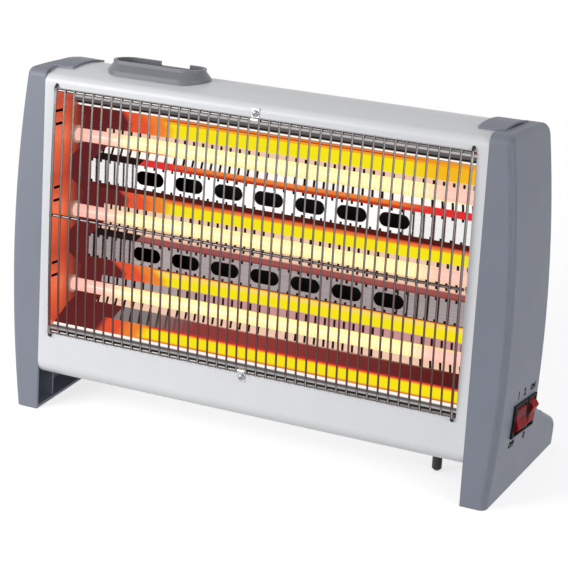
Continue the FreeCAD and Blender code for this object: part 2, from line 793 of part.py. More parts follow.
def make_clip(label, wire_level, sign):
    """Sheet clip that hooks over a cross wire. Sign is 1 for the upper clip and -1 for the lower."""
    body = new_body(label)
    inside = "(cross_wire_gauge / 2 + clip_gap)"
    outside = f"({inside} + clip_gauge)"
    end = f"{wire_level} + {sign} * (clip_screw_reach + clip_length / 2)"
    neck_in = f"{wire_level} + {sign} * sqrt({inside}^2 - {CROSS_SETBACK}^2)"
    neck_out = f"{wire_level} + {sign} * sqrt({outside}^2 - (clip_gauge + {CROSS_SETBACK})^2)"
    profile = new_sketch(body, "YZ")
    outline(profile, [
        ("0", end),
        ("-clip_gauge", end),
        ("-clip_gauge", neck_out, outside, sign),
        (CROSS_SETBACK, f"{wire_level} - {sign} * {outside}"),
        (CROSS_SETBACK, f"{wire_level} - {sign} * {inside}", inside, -sign),
        ("0", neck_in),
    ])
    pad(body, profile, "clip_width", both_ways=True)
    hole = new_sketch(body, "XZ")
    circle(hole, "0", f"{wire_level} + {sign} * clip_screw_reach", SCREW_HOLE)
    pocket(body, hole, both_ways=True)
    return body


def make_reflector():
    """Folded reflector: a trough behind each tube, with a flat band of vent slots between troughs."""
    body = new_body("reflector")
    front = [("reflector_front", REFLECTOR_TOP)]
    for place, level in enumerate(TUBE_LEVELS):
        if place == 0:
            front.append(("reflector_brow_setback", f"{level} + reflector_brow_rise"))
        else:
            front.append(("reflector_band", f"{TUBE_LEVELS[place - 1]} - band_top_drop - band_height"))
        front.append((REFLECTOR_BACK, f"{level} + trough_rise", "trough_radius", 1))
        front.append((REFLECTOR_BACK, f"{level} - trough_drop"))
        front.append(("reflector_band", f"{level} - band_top_drop"))
    front.append(("reflector_front", "reflector_bottom"))
    rear = f"({REFLECTOR_BACK} + trough_radius)"
    profile = new_sketch(body, "YZ")
    outline(profile, front + [(rear, "reflector_bottom"), (rear, REFLECTOR_TOP)])
    pad(body, profile, f"2 * ({BRACKET_INNER} - seat_gap)", both_ways=True)
    ends = [value(REFLECTOR_TOP), value("reflector_bottom")]
    rear_setback = value(rear)

    def left_open(face):
        if not isinstance(face.Surface, Part.Plane):
            return False
        middle = face.CenterOfMass
        level_end = min(abs(middle.z - end) for end in ends) < CLOSE
        return faces_along_x(face) or abs(middle.y - rear_setback) < CLOSE or level_end

    shell(body, "reflector_gauge", left_open)
    vents = new_sketch(body, "XZ")
    for level in TUBE_LEVELS[:2]:
        slot(vents, "-vent_pitch * (vent_count - 1) / 2", f"{level} - band_top_drop - band_height / 2",
             "vent_length", "vent_width")
    repeat(body, pocket(body, vents), "vent_count", "vent_pitch")
    return body


def make_bracket(label, side):
    """End plate that carries the tubes' collars, with short slits above each tube."""
    body = new_body(label)
    plate = new_sketch(body, "YZ", f"{side} * {BRACKET_INNER}")
    front = "(sheet_gauge + seat_gap)"
    rear = "(casing_depth - sheet_gauge - seat_gap)"
    low = f"({FLOOR_INSIDE} + seat_gap)"
    rectangle(plate, front, rear, low, f"{WINDOW_TOP} + bracket_rise")
    for level in TUBE_LEVELS:
        circle(plate, "tube_setback", level, "tube_gauge + 2 * (collar_gap + collar_wall) + 2 * seat_gap")
        for step in range(2):
            low_side = f"({level} + slit_rise + {step} * slit_step)"
            rectangle(plate, "slit_setback - slit_length / 2", "slit_setback + slit_length / 2",
                      low_side, f"{low_side} + slit_width")
    for level in BOSS_LEVELS:
        circle(plate, BOSS_SETBACK, level, PANEL_SCREW_HOLE)
    pad(body, plate, "sheet_gauge", backwards=side < 0)
    round_edges(body, "casing_low_round", lies_along_x(front, low))
    round_edges(body, "casing_rear_round", lies_along_x(rear, low))
    return body


def make_tube(label, level):
    """Hollow heating tube between the collars."""
    body = new_body(label)
    ring = new_sketch(body, "YZ")
    circle(ring, "tube_setback", level, "tube_gauge")
    circle(ring, "tube_setback", level, "tube_gauge - 2 * tube_wall")
    pad(body, ring, f"2 * ({HALF} - tube_inset)", both_ways=True)
    return body


def make_core(label, level):
    """Filament rod inside a tube, with its ends out of the collars as terminal pins."""
    body = new_body(label)
    rod = new_sketch(body, "YZ")
    circle(rod, "tube_setback", level, "pin_gauge")
    pad(body, rod, f"2 * ({HALF} + pin_reach)", both_ways=True)
    return body


def make_collars(label, side):
    """Ceramic collars that close the tube ends and seat them in the end plate."""
    body = new_body(label)
    flange_face = f"({BRACKET_INNER} - seat_gap)"
    start = f"({flange_face} - collar_flange_gauge)"
    finish = f"({HALF} + collar_stand)"
    bore = "tube_gauge + collar_gap"
    for gauge, length in (
        ("collar_flange", "collar_flange_gauge"),
        (f"{bore} + 2 * collar_wall", f"{finish} - {start}"),
    ):
        rounds = new_sketch(body, "YZ", f"{side} * {start}")
        for level in TUBE_LEVELS:
            circle(rounds, "tube_setback", level, gauge)
        pad(body, rounds, length, backwards=side < 0)
    for gauge, length in (
        (bore, f"{HALF} - tube_inset + seat_gap - {start}"),
        ("pin_gauge + pin_gap", f"2 * ({finish} - {start})"),
    ):
        bores = new_sketch(body, "YZ", f"{side} * {start}")
        for level in TUBE_LEVELS:
            circle(bores, "tube_setback", level, gauge)
        pocket(body, bores, length, backwards=side > 0)
    return body


def make_link_strip():
    """Strip that joins the tubes' left pins."""
    body = new_body("left_link_strip")
    strip = new_sketch(body, "YZ", f"-({HALF} + collar_stand)")
    rectangle(strip, "tube_setback - link_width / 2", "tube_setback + link_width / 2",
              f"{TUBE_LEVELS[2]} - link_width / 2", f"{TUBE_LEVELS[0]} + link_width / 2")
    for level in TUBE_LEVELS:
        circle(strip, "tube_setback", level, "pin_gauge + pin_gap")
    pad(body, strip, "link_gauge", backwards=True)
    return body


def make_lead_tabs():
    """One push-on tab on each tube's right pin."""
    body = new_body("right_lead_tabs")
    tabs = new_sketch(body, "YZ", f"{HALF} + collar_stand")
    for level in TUBE_LEVELS:
        rectangle(tabs, "tube_setback - link_width / 2", "tube_setback - link_width / 2 + tab_length",
                  f"{level} - link_width / 2", f"{level} + link_width / 2")
        circle(tabs, "tube_setback", level, "pin_gauge + pin_gap")
    pad(body, tabs, "link_gauge")
    return body


def switch_frame(setback, tilt=0, depth="0"):
    """Placement on the right panel's bowed face, or a depth inside it: X outward, Y back, Z up the face."""
    slope = math.degrees(math.asin(value("(barrel_level - switch_level) / barrel_radius")))
    seat = FreeCAD.Vector(value(f"{HALF} + {barrel('switch_level')}"), value(setback), value("switch_level"))
    facing = FreeCAD.Rotation(FreeCAD.Vector(0, 1, 0), slope)
    pivot = seat - facing.multVec(FreeCAD.Vector(value(depth), 0, 0))
    upright = FreeCAD.Placement(pivot, FreeCAD.Rotation(FreeCAD.Vector(0, 1, 0), slope + tilt))
    return leaning_frame().multiply(upright)


def make_switch_housing(label, setback, width):
    """Snap-in switch housing: a bezel on the panel and a well that holds the rocker's pivots."""
    body = new_body(label)
    body.Placement = switch_frame(setback)
    half = f"({width} / 2)"
    half_height = "(bezel_height / 2)"
    well_half = f"({half} - bezel_border)"
    well_rise = "(rocker_radius + rocker_end_gap)"
    bezel = new_sketch(body, "YZ", "bezel_seat")
    rectangle(bezel, f"-{half}", half, f"-{half_height}", half_height)
    pad(body, bezel, "bezel_gauge")
    bezel_front = value("bezel_seat + bezel_gauge")
    round_edges(body, "bezel_gauge / 2", lambda edge: edge.CenterOfMass.x > bezel_front - CLOSE)
    case = new_sketch(body, "YZ", "bezel_seat")
    case_half = f"({well_half} + switch_wall)"
    case_rise = f"({well_rise} + switch_end_wall)"
    rectangle(case, f"-{case_half}", case_half, f"-{case_rise}", case_rise)
    pad(body, case, "switch_depth", backwards=True)
    well = new_sketch(body, "YZ", "bezel_seat + bezel_gauge")
    rectangle(well, f"-{well_half}", well_half, f"-{well_rise}", well_rise)
    pocket(body, well, "bezel_gauge + switch_well")
    pivots = new_sketch(body, "XZ")
    circle(pivots, "-pivot_depth", "0", "pivot_gauge + pivot_gap")
    pocket(body, pivots, f"2 * ({well_half} + pivot_reach)", both_ways=True)
    return body


def make_rocker(label, setback, width, sign):
    """Rocker with a shallow valley across its face. Sign is 1 where its upper end stands out."""
    body = new_body(label)
    body.Placement = switch_frame(setback, sign * value("rocker_tilt"), "pivot_depth")
    edge_rise = "sqrt(rocker_radius^2 - rocker_edge^2)"
    skirt_rise = "sqrt(rocker_radius^2 - rocker_skirt^2)"
    well_half = f"({width} / 2 - bezel_border)"
    profile = new_sketch(body, "XZ")
    outline(profile, [
        ("-rocker_skirt", f"-{skirt_rise}", "rocker_radius", 1),
        ("rocker_edge", f"-{edge_rise}"),
        ("rocker_valley", "0"),
        ("rocker_edge", edge_rise, "rocker_radius", 1),
        ("-rocker_skirt", skirt_rise),
    ])
    pad(body, profile, f"2 * ({well_half} - rocker_gap)", both_ways=True)
    pivots = new_sketch(body, "XZ")
    circle(pivots, "0", "0", "pivot_gauge")
    pad(body, pivots, f"2 * ({well_half} + pivot_reach - rocker_gap)", both_ways=True)
    return body


def make_plunger():
    """Tip-over plunger: its bevelled tip stands on the floor and its flange keeps it in the guide."""
    body = new_body("tip_plunger")
    tip = f"({PLUNGER_SETBACK} * tan({LEAN}) + plunger_floor_gap)"
    stem = new_sketch(body, "XY", tip)
    circle(stem, PLUNGER_X, PLUNGER_SETBACK, "plunger_gauge")
    pad(body, stem, f"{PLUNGER_TOP} - {tip}")
    tip_level = value(tip)
    bevel_edges(body, "plunger_tip_chamfer", lambda edge: abs(edge.CenterOfMass.z - tip_level) < CLOSE)
    flange = new_sketch(body, "XY", PLUNGER_FLANGE_LOW)
    circle(flange, PLUNGER_X, PLUNGER_SETBACK, "plunger_flange")
    pad(body, flange, "plunger_flange_gauge")
    return body


def make_plunger_guide():
    """Bush through the casing's floor that the plunger slides in."""
    body = new_body("plunger_guide")
    low = "(casing_lift - guide_drop)"
    for start, length, gauge in (
        (low, f"{GUIDE_TOP} - {low}", "guide_gauge"),
        (FLOOR_INSIDE, "guide_flange_gauge", "guide_flange"),
    ):
        rounds = new_sketch(body, "XY", start)
        circle(rounds, PLUNGER_X, PLUNGER_SETBACK, gauge)
        pad(body, rounds, length)
    bore = new_sketch(body, "XY", GUIDE_TOP)
    circle(bore, PLUNGER_X, PLUNGER_SETBACK, "plunger_gauge + plunger_gap")
    pocket(body, bore)
    return body


# The tip-over switch stands behind the guide's flange, over the plunger
TIP_SWITCH_REAR = f"({PLUNGER_SETBACK} + guide_flange / 2 + 2 * sheet_gauge)"
TIP_SWITCH_LOW = f"({PLUNGER_TOP} + plunger_stop_gap + tip_button_height)"


def make_tip_switch():
    """Boxed microswitch whose button meets the plunger's top."""
    body = new_body("tip_switch")
    case = new_sketch(body, "XY", TIP_SWITCH_LOW)
    rectangle(case, f"{PLUNGER_X} - tip_switch_width / 2", f"{PLUNGER_X} + tip_switch_width / 2",
              f"{TIP_SWITCH_REAR} - tip_switch_depth", TIP_SWITCH_REAR)
    pad(body, case, "tip_switch_height")
    button = new_sketch(body, "XY", TIP_SWITCH_LOW)
    circle(button, PLUNGER_X, PLUNGER_SETBACK, "tip_button_gauge")
    pad(body, button, "tip_button_height", backwards=True)
    return body


def make_tip_bracket():
    """Angle bracket on the casing's floor that carries the tip-over switch."""
    body = new_body("tip_switch_bracket")
    profile = new_sketch(body, "YZ", PLUNGER_X)
    front = TIP_SWITCH_REAR
    high = f"({TIP_SWITCH_LOW} + tip_switch_height)"
    outline(profile, [
        (front, FLOOR_INSIDE),
        (f"{front} + tip_bracket_foot", FLOOR_INSIDE),
        (f"{front} + tip_bracket_foot", f"{FLOOR_INSIDE} + sheet_gauge"),
        (f"{front} + sheet_gauge", f"{FLOOR_INSIDE} + sheet_gauge"),
        (f"{front} + sheet_gauge", high),
        (front, high),
    ])
    pad(body, profile, "tip_switch_width", both_ways=True)
    return body


def make_terminal_block():
    """Terminal block on the casing's floor, with a row of screw wells."""
    body = new_body("terminal_block")
    middle = f"({HALF} - terminal_inset)"
    block = new_sketch(body, "XY", FLOOR_INSIDE)
    rectangle(block, f"{middle} - terminal_length / 2", f"{middle} + terminal_length / 2",
              TERMINAL_SETBACK, f"{TERMINAL_SETBACK} + terminal_depth")
    pad(body, block, "terminal_height")
    wells = new_sketch(body, "XY", f"{FLOOR_INSIDE} + terminal_height")
    for place in (-1, 0, 1):
        circle(wells, f"{middle} + {place} * terminal_length / 3", f"{TERMINAL_SETBACK} + terminal_depth / 2",
               "terminal_screw")
    pocket(body, wells, "terminal_screw_depth")
    return body


def make_gland():
    """Bush in the rear cover where the supply cord enters."""
    body = new_body("cord_gland")
    outside = "(casing_depth + sheet_gauge)"
    flange = new_sketch(body, "XZ", f"-{outside}")
    circle(flange, GLAND_X, "gland_level", "gland_flange")
    pad(body, flange, "gland_flange_gauge", backwards=True)
    neck = new_sketch(body, "XZ", f"-{outside}")
    circle(neck, GLAND_X, "gland_level", "gland_neck")
    pad(body, neck, "gland_depth")
    bore = new_sketch(body, "XZ")
    circle(bore, GLAND_X, "gland_level", "gland_bore")
    pocket(body, bore)
    return body


def make_tray():
    """Humidifier tray: a round-ended dish that drops through the casing's top and rests on it."""
    body = new_body("humidifier_tray")
    skirt_level = "(crown_height + tray_skirt_rise)"
    skirt = new_sketch(body, "XY", skirt_level)
    slot(skirt, TRAY_X, "tray_setback", "tray_length", "tray_width")
    pad(body, skirt, "tray_rise", backwards=True)
    foot = new_sketch(body, "XY", skirt_level)
    slot(foot, TRAY_X, "tray_setback", "tray_length", "tray_width")
    rim = new_sketch(body, "XY", f"{TRAY_TOP} - rim_height")
    slot(rim, TRAY_X, "tray_setback", "rim_length", "rim_width")
    loft = body.newObject("PartDesign::AdditiveLoft", "tray_flare")
    loft.Profile = foot
    loft.Sections = [rim]
    body.Tip = loft
    doc.recompute()
    lip = new_sketch(body, "XY", TRAY_TOP)
    slot(lip, TRAY_X, "tray_setback", "rim_length", "rim_width")
    pad(body, lip, "rim_height", backwards=True)
    seat = new_sketch(body, "YZ")
    circle(seat, "crown_setback", CROWN_LEVEL, "2 * (crown_radius + tray_gap)")
    pocket(body, seat, both_ways=True)
    bowl = new_sketch(body, "XY", TRAY_TOP)
    slot(bowl, TRAY_X, "tray_setback", BOWL_OUTER_LENGTH, BOWL_OUTER_WIDTH)
    pad(body, bowl, "bowl_depth + bowl_wall", backwards=True)
    well = new_sketch(body, "XY", TRAY_TOP)
    slot(well, TRAY_X, "tray_setback", "bowl_length", "bowl_width")
    pocket(body, well, "bowl_depth")
    notch = new_sketch(body, "XZ", "-tray_setback")
    middle = f"({TRAY_X} + notch_offset)"
    rectangle(notch, f"{middle} - notch_width / 2", f"{middle} + notch_width / 2",
              f"{TRAY_TOP} - notch_depth", f"{TRAY_TOP} + notch_depth")
    pocket(body, notch)
    return body


pieces = [
    make_casing(),
    make_rear_cover(),
    make_end_panel("left_end_panel", -1),
    make_right_panel(),
    make_screws("left_panel_screws", "YZ", f"-{BRACKET_INNER}", BOSS_POINTS,
                "panel_screw_gauge", "panel_screw_head", "screw_head_gauge", "panel_screw_length", True),
    make_screws("right_panel_screws", "YZ", BRACKET_INNER, BOSS_POINTS,
                "panel_screw_gauge", "panel_screw_head", "screw_head_gauge", "panel_screw_length", False),
    make_guard(),
    make_clip("guard_clip_top", GUARD_TOP, 1),
    make_clip("guard_clip_bottom", "guard_bottom", -1),
    make_screws("guard_clip_screws", "XZ", "clip_gauge", [("0", level) for level in CLIP_SCREW_LEVELS],
                "screw_gauge", "screw_head", "screw_head_gauge", "screw_length", True),
    make_reflector(),
    make_bracket("left_element_bracket", -1),
    make_bracket("right_element_bracket", 1),
    make_collars("left_tube_collars", -1),
    make_collars("right_tube_collars", 1),
    make_link_strip(),
    make_lead_tabs(),
    make_plunger(),
    make_plunger_guide(),
    make_tip_switch(),
    make_tip_bracket(),
    make_terminal_block(),
    make_gland(),
    make_tray(),
    make_switch_housing("switch_housing_1", "switch_one_setback", "bezel_one_width"),
    make_switch_housing("switch_housing_2", "switch_two_setback", "bezel_two_width"),
    make_rocker("rocker_1", "switch_one_setback", "bezel_one_width", -1),
    make_rocker("rocker_2", "switch_two_setback", "bezel_two_width", 1),
]
for place, level in zip(("upper", "middle", "lower"), TUBE_LEVELS):
    pieces.append(make_tube(f"{place}_heating_tube", level))
    pieces.append(make_core(f"{place}_tube_core", level))

doc.recompute()
for item in doc.Objects:
    if "Invalid" in item.State or "Error" in item.State:
        raise RuntimeError(f"{item.Label} did not build: {item.State}")
for piece in pieces:
    if piece.Shape.isNull() or not piece.Shape.isValid():
        raise RuntimeError(f"{piece.Label} has no valid shape")

os.makedirs("parts", exist_ok=True)
for piece in pieces:
    piece.Shape.exportStep(f"parts/{piece.Label}.step")
    print(f"{piece.Label}: {len(piece.Shape.Solids)} solids, {piece.Shape.Volume:.0f} mm3")
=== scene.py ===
# %% [markdown]
# # Dressing a leaning radiant heater
# The CAD model holds every rigid piece of the heater in its true place. This lesson loads it as a fixed
# frame and gives it its looks: paint, moulded plastic, a polished reflector, glowing tubes, and the round
# wire, screws and printed marks that are too fine for the solids. Nothing from the CAD model is moved or
# reshaped.

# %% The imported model
import json
import math

import bmesh
import bpy
from mathutils import Matrix, Vector

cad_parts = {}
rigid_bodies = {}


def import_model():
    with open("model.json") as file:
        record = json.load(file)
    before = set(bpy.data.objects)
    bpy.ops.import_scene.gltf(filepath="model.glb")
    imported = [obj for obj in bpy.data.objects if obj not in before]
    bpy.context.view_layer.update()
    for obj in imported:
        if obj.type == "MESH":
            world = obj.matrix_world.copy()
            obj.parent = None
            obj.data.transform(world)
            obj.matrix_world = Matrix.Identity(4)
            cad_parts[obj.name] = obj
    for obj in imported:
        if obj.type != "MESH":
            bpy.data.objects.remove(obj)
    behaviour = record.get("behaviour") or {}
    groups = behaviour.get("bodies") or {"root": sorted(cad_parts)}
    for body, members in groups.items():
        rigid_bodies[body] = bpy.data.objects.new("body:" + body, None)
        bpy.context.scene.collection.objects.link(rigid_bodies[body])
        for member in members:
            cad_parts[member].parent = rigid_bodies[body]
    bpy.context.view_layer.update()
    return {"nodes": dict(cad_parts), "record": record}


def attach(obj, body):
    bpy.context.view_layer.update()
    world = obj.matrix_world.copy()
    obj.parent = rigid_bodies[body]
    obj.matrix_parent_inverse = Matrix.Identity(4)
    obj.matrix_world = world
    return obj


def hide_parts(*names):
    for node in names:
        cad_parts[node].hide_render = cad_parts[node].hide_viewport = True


for leftover in list(bpy.data.objects):
    bpy.data.objects.remove(leftover)
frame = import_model()
nodes = frame["nodes"]
for plain in list(bpy.data.materials):
    bpy.data.materials.remove(plain)

# %% [markdown]
# ## The leaning frame
# The heater's casing leans back, and all its pieces are square to that lean rather than to the floor. Each
# new piece could be turned into place one by one. It is simpler to state points in the casing's own
# directions, across, setback and level in millimetres, and to carry them all into the world with one matrix.

# %% From the casing's directions to the world
MM = 0.001
LEAN = math.radians(7)
TOE_Y = -0.08
leaning = Matrix.Translation((0, TOE_Y, 0)) @ Matrix.Rotation(-LEAN, 4, "X")


def at(across, setback, level):
    """A point given in the casing's directions, in millimetres, as a point of the world in metres."""
    return leaning @ Vector((across * MM, setback * MM, level * MM))


def placed(name, data):
    """A new object that holds the given data, put into the scene."""
    item = bpy.data.objects.new(name, data)
    bpy.context.scene.collection.objects.link(item)
    return item


WINDOW_MIDDLE = 193
print("middle of the window:", [round(c, 4) for c in at(0, 0, WINDOW_MIDDLE)])

# %% [markdown]
# ## Camera
# The photograph looks down on the heater from its right front, through a long lens that hardly spreads the
# parallel edges. A camera could be placed by eye. Here its direction, distance and lens come from matching
# the guard's corners, the screws and the feet with their pixels, so the render can be laid over the
# photograph.

# %% A long lens at the right front
PHOTO_PIXELS, FOCAL_PIXELS, SENSOR_WIDTH = 568, 2085.7, 36
TURN, RISE = math.radians(27.4645), math.radians(21.2705)
VIEWING_DISTANCE = 1.8702
looked_at = Vector((0.0217, -0.03, 0.1532))
towards_camera = Vector((math.sin(TURN) * math.cos(RISE), -math.cos(TURN) * math.cos(RISE), math.sin(RISE)))

camera = placed("camera", bpy.data.cameras.new("camera"))
camera.data.sensor_width = SENSOR_WIDTH
camera.data.lens = FOCAL_PIXELS / PHOTO_PIXELS * SENSOR_WIDTH
camera.location = looked_at + towards_camera * VIEWING_DISTANCE
camera.rotation_euler = (-towards_camera).to_track_quat("-Z", "Y").to_euler()
bpy.context.scene.camera = camera
bpy.context.scene.view_settings.view_transform = "Standard"
print("lens:", round(camera.data.lens, 1), "mm")

# %% [markdown]
# ## Nodes of a finish
# Every finish is a small network of nodes on the standard shader. Written out one by one, such networks
# drown in set-up lines. A few helpers keep them readable: one starts a finish, one adds a node with its
# inputs already set or linked, and the others make noise, blends and ranges.

# %% Starting a finish and adding its nodes
def start_finish(name):
    """A new finish, its node tree and its shader."""
    finish = bpy.data.materials.new(name)
    finish.use_nodes = True
    return finish, finish.node_tree, finish.node_tree.nodes["Principled BSDF"]


def give_finish(mesh, finish):
    """Leaves the given finish as the only one on a mesh."""
    mesh.materials.clear()
    mesh.materials.append(finish)


def feed(tree, socket, value):
    """Sets a socket to a plain value, or links it to another node's output."""
    if isinstance(value, bpy.types.NodeSocket):
        tree.links.new(value, socket)
    else:
        socket.default_value = value


def add(tree, kind, inputs, output=0, **settings):
    """Adds one node with its settings and inputs, and returns its output."""
    node = tree.nodes.new("ShaderNode" + kind)
    for name, value in settings.items():
        setattr(node, name, value)
    for name, value in inputs.items():
        feed(tree, node.inputs[name], value)
    return node.outputs[output]


print("a finish starts on the standard shader")

# %% Noise, blends and ranges
LOW, HIGH = 0.3, 0.7


def noise(tree, scale, detail):
    """Noise in the piece's own coordinates, with so many waves to the metre."""
    place = add(tree, "TexCoord", {}, "Object")
    return add(tree, "TexNoise", {"Vector": place, "Scale": scale, "Detail": detail})


def blend_of(tree, share, stops):
    """A colour that runs through the given (place, colour) stops as the share goes from 0 to 1."""
    ramp = tree.nodes.new("ShaderNodeValToRGB")
    elements = ramp.color_ramp.elements
    while len(elements) < len(stops):
        elements.new(0.5)
    for element, (place, colour) in zip(elements, stops):
        element.position = place
        element.color = (*colour, 1)
    feed(tree, ramp.inputs["Fac"], share)
    return ramp.outputs["Color"]


def mottled(tree, share, darker, lighter):
    """A colour that drifts between two tones over the usual range of a noise."""
    return blend_of(tree, share, [(LOW, darker), (HIGH, lighter)])


def ranged(tree, share, first, last):
    """A number that goes from first to last as the share goes from 0 to 1."""
    return add(tree, "MapRange", {"Value": share, "To Min": first, "To Max": last})


print("noise is used from", LOW, "to", HIGH)

# %% [markdown]
# ## Paint and moulded plastic
# The casing is sheet metal under a stoved paint with a faint orange peel. The end panels and tray are moulded
# plastic with the fine grain of an eroded mould. A picture of each surface would tile and blur. Noise in the
# piece's own coordinates stays sharp at any distance: a broad one shifts the tone, and a fine one is the
# grain.

# %% One recipe for paint, plastic and rubber
DRIFT_SCALE, GLOSS_SWING = 28.0, 0.05
GRAIN_STRENGTH, COAT_ROUGHNESS = 0.35, 0.2


def grained_finish(name, colour, spread, roughness, grain_size, grain_depth, coat=0.0, shine=0.5):
    """A finish with a drifting tone and a fine grain, whose size and depth are in millimetres."""
    finish, tree, shader = start_finish(name)
    place = add(tree, "TexCoord", {}, "Object")
    drift = add(tree, "TexNoise", {"Vector": place, "Scale": DRIFT_SCALE, "Detail": 5.0, "Roughness": 0.6})
    darker = [c * (1 - spread) for c in colour]
    lighter = [min(1, c * (1 + spread)) for c in colour]
    feed(tree, shader.inputs["Base Color"], mottled(tree, drift, darker, lighter))
    feed(tree, shader.inputs["Roughness"], add(tree, "MapRange", {
        "Value": drift, "From Min": LOW, "From Max": HIGH,
        "To Min": roughness - GLOSS_SWING, "To Max": roughness + GLOSS_SWING}))
    grain = add(tree, "TexNoise", {"Vector": place, "Scale": 1 / (grain_size * MM), "Detail": 2.0})
    feed(tree, shader.inputs["Normal"], add(tree, "Bump", {
        "Height": grain, "Strength": GRAIN_STRENGTH, "Distance": grain_depth * MM}))
    shader.inputs["Coat Weight"].default_value = coat
    shader.inputs["Coat Roughness"].default_value = COAT_ROUGHNESS
    shader.inputs["Specular IOR Level"].default_value = shine
    return finish


# Each line: name, colour, spread of tone, roughness, grain size and grain depth.
casing_paint = grained_finish("casing_paint", (0.80, 0.81, 0.835), 0.015, 0.42, 2.2, 0.05, coat=0.25)
panel_plastic = grained_finish("panel_plastic", (0.216, 0.236, 0.292), 0.03, 0.46, 0.45, 0.03)
tray_plastic = grained_finish("tray_plastic", (0.205, 0.21, 0.238), 0.03, 0.36, 0.45, 0.03)
switch_black = grained_finish("switch_black", (0.006, 0.006, 0.007), 0.1, 0.55, 0.8, 0.01, shine=0.15)
plunger_plastic = grained_finish("plunger_plastic", (0.018, 0.018, 0.02), 0.1, 0.42, 0.5, 0.02)
guide_plastic = grained_finish("guide_plastic", (0.028, 0.028, 0.03), 0.1, 0.55, 0.5, 0.02)
gland_rubber = grained_finish("gland_rubber", (0.02, 0.02, 0.02), 0.1, 0.7, 0.3, 0.03)
terminal_plastic = grained_finish("terminal_plastic", (0.72, 0.68, 0.58), 0.04, 0.4, 0.6, 0.02)
print("grained finishes:", casing_paint.name, panel_plastic.name, tray_plastic.name)

# %% [markdown]
# ## Drawn and rolled metal
# Wire, strip and screws show fine lines along the way they were drawn or rolled. The lines could be bumps
# alone, but on metal they are seen first as changes of gloss. The same stretched noise feeds both.

# %% One recipe for bare metal
DULLED, LESS_ROUGH, MORE_ROUGH = 0.86, 0.7, 1.3
LINE_STRENGTH, LINE_DEPTH = 0.15, 0.02
LINE_TOP = 0.65


def drawn_finish(name, colour, roughness, streaks):
    """Bare metal with fine lines: streaks gives the noise's waves to the metre along X, Y and Z."""
    finish, tree, shader = start_finish(name)
    place = add(tree, "TexCoord", {}, "Object")
    stretched = add(tree, "Mapping", {"Vector": place, "Scale": streaks})
    lines = add(tree, "TexNoise", {"Vector": stretched, "Scale": 1.0, "Detail": 4.0, "Roughness": 0.65})
    darker_tone = [c * DULLED for c in colour]
    feed(tree, shader.inputs["Base Color"], blend_of(tree, lines, [(LOW, darker_tone), (LINE_TOP, colour)]))
    feed(tree, shader.inputs["Roughness"], add(tree, "MapRange", {
        "Value": lines, "From Min": LOW, "From Max": HIGH,
        "To Min": roughness * LESS_ROUGH, "To Max": roughness * MORE_ROUGH}))
    feed(tree, shader.inputs["Normal"], add(tree, "Bump", {
        "Height": lines, "Strength": LINE_STRENGTH, "Distance": LINE_DEPTH * MM}))
    shader.inputs["Metallic"].default_value = 1
    return finish


# Each line: name, colour, roughness and streaks. The lines run along the direction with the fewest waves.
guard_chrome = drawn_finish("guard_chrome", (0.29, 0.28, 0.28), 0.2, (900, 900, 120))
clip_chrome = drawn_finish("clip_chrome", (0.60, 0.60, 0.61), 0.3, (120, 900, 900))
screw_steel = drawn_finish("screw_steel", (0.34, 0.34, 0.35), 0.34, (500, 500, 500))
link_steel = drawn_finish("link_steel", (0.66, 0.65, 0.62), 0.32, (150, 900, 900))
print("metal finishes:", guard_chrome.name, clip_chrome.name, screw_steel.name, link_steel.name)

# %% [markdown]
# ## Places and shares
# On the real heater a colour often depends on where a point lies: how high, how far along, and which way its
# surface faces. Each such zone could be a piece of its own. Here one finish covers a whole piece, and these
# helpers turn a point's place into shares between 0 and 1, which then mix the colours.

# %% Shares by place, for a finish
TUBE_LEVELS = (262.6, 190.45, 118.3)
TUBE_PITCH = 72.15
FAR = 400


def casing_place(tree):
    """Across, setback and level of the shaded point, in metres, as three outputs."""
    place = add(tree, "TexCoord", {}, "Object")
    square = add(tree, "Mapping", {"Vector": place, "Rotation": (LEAN, 0, 0),
                                   "Location": (0, -TOE_Y * math.cos(LEAN), -TOE_Y * math.sin(LEAN))})
    split = tree.nodes.new("ShaderNodeSeparateXYZ")
    feed(tree, split.inputs[0], square)
    return split.outputs


def share_between(tree, value, low, high, smooth=False):
    """0 where the value is at low, 1 where it is at high, both in millimetres."""
    return add(tree, "MapRange", {"Value": value, "From Min": low * MM, "From Max": high * MM},
               interpolation_type="SMOOTHSTEP" if smooth else "LINEAR")


def either(tree, first, second):
    """The larger of two shares."""
    return add(tree, "Math", {0: first, 1: second}, operation="MAXIMUM")


def both(tree, first, second):
    """The product of two shares."""
    return add(tree, "Math", {0: first, 1: second}, operation="MULTIPLY")


def between(tree, value, low, high):
    """1 where the value lies between two bounds in millimetres, and 0 outside them."""
    above = add(tree, "Math", {0: value, 1: low * MM}, operation="GREATER_THAN")
    below = add(tree, "Math", {0: value, 1: high * MM}, operation="LESS_THAN")
    return both(tree, above, below)


def around_tubes(tree, level, tubes, spans):
    """1 within the given spans of millimetres above the given tubes."""
    share = 0.0
    for tube in tubes:
        for low, high in spans:
            share = either(tree, share, between(tree, level, tube + low, tube + high))
    return share


print("tube levels:", TUBE_LEVELS, "mm up the front")

# %% Shares by direction, and mixing
OUT_OF_FRONT = (0, -math.cos(LEAN), math.sin(LEAN))
JUST_TURNED = 0.02
FIRST_COLOUR, SECOND_COLOUR, MIXED_COLOUR = 6, 7, 2


def turned_to(tree, direction):
    """1 where the surface faces straight the given way, and less as it turns from it."""
    normal = add(tree, "NewGeometry", {}, "Normal")
    return add(tree, "VectorMath", {0: normal, 1: direction}, "Value", operation="DOT_PRODUCT")


def facing(tree, direction):
    """1 where the surface faces the given way, and 0 on its other side."""
    return add(tree, "Math", {0: turned_to(tree, direction), 1: JUST_TURNED}, operation="GREATER_THAN")


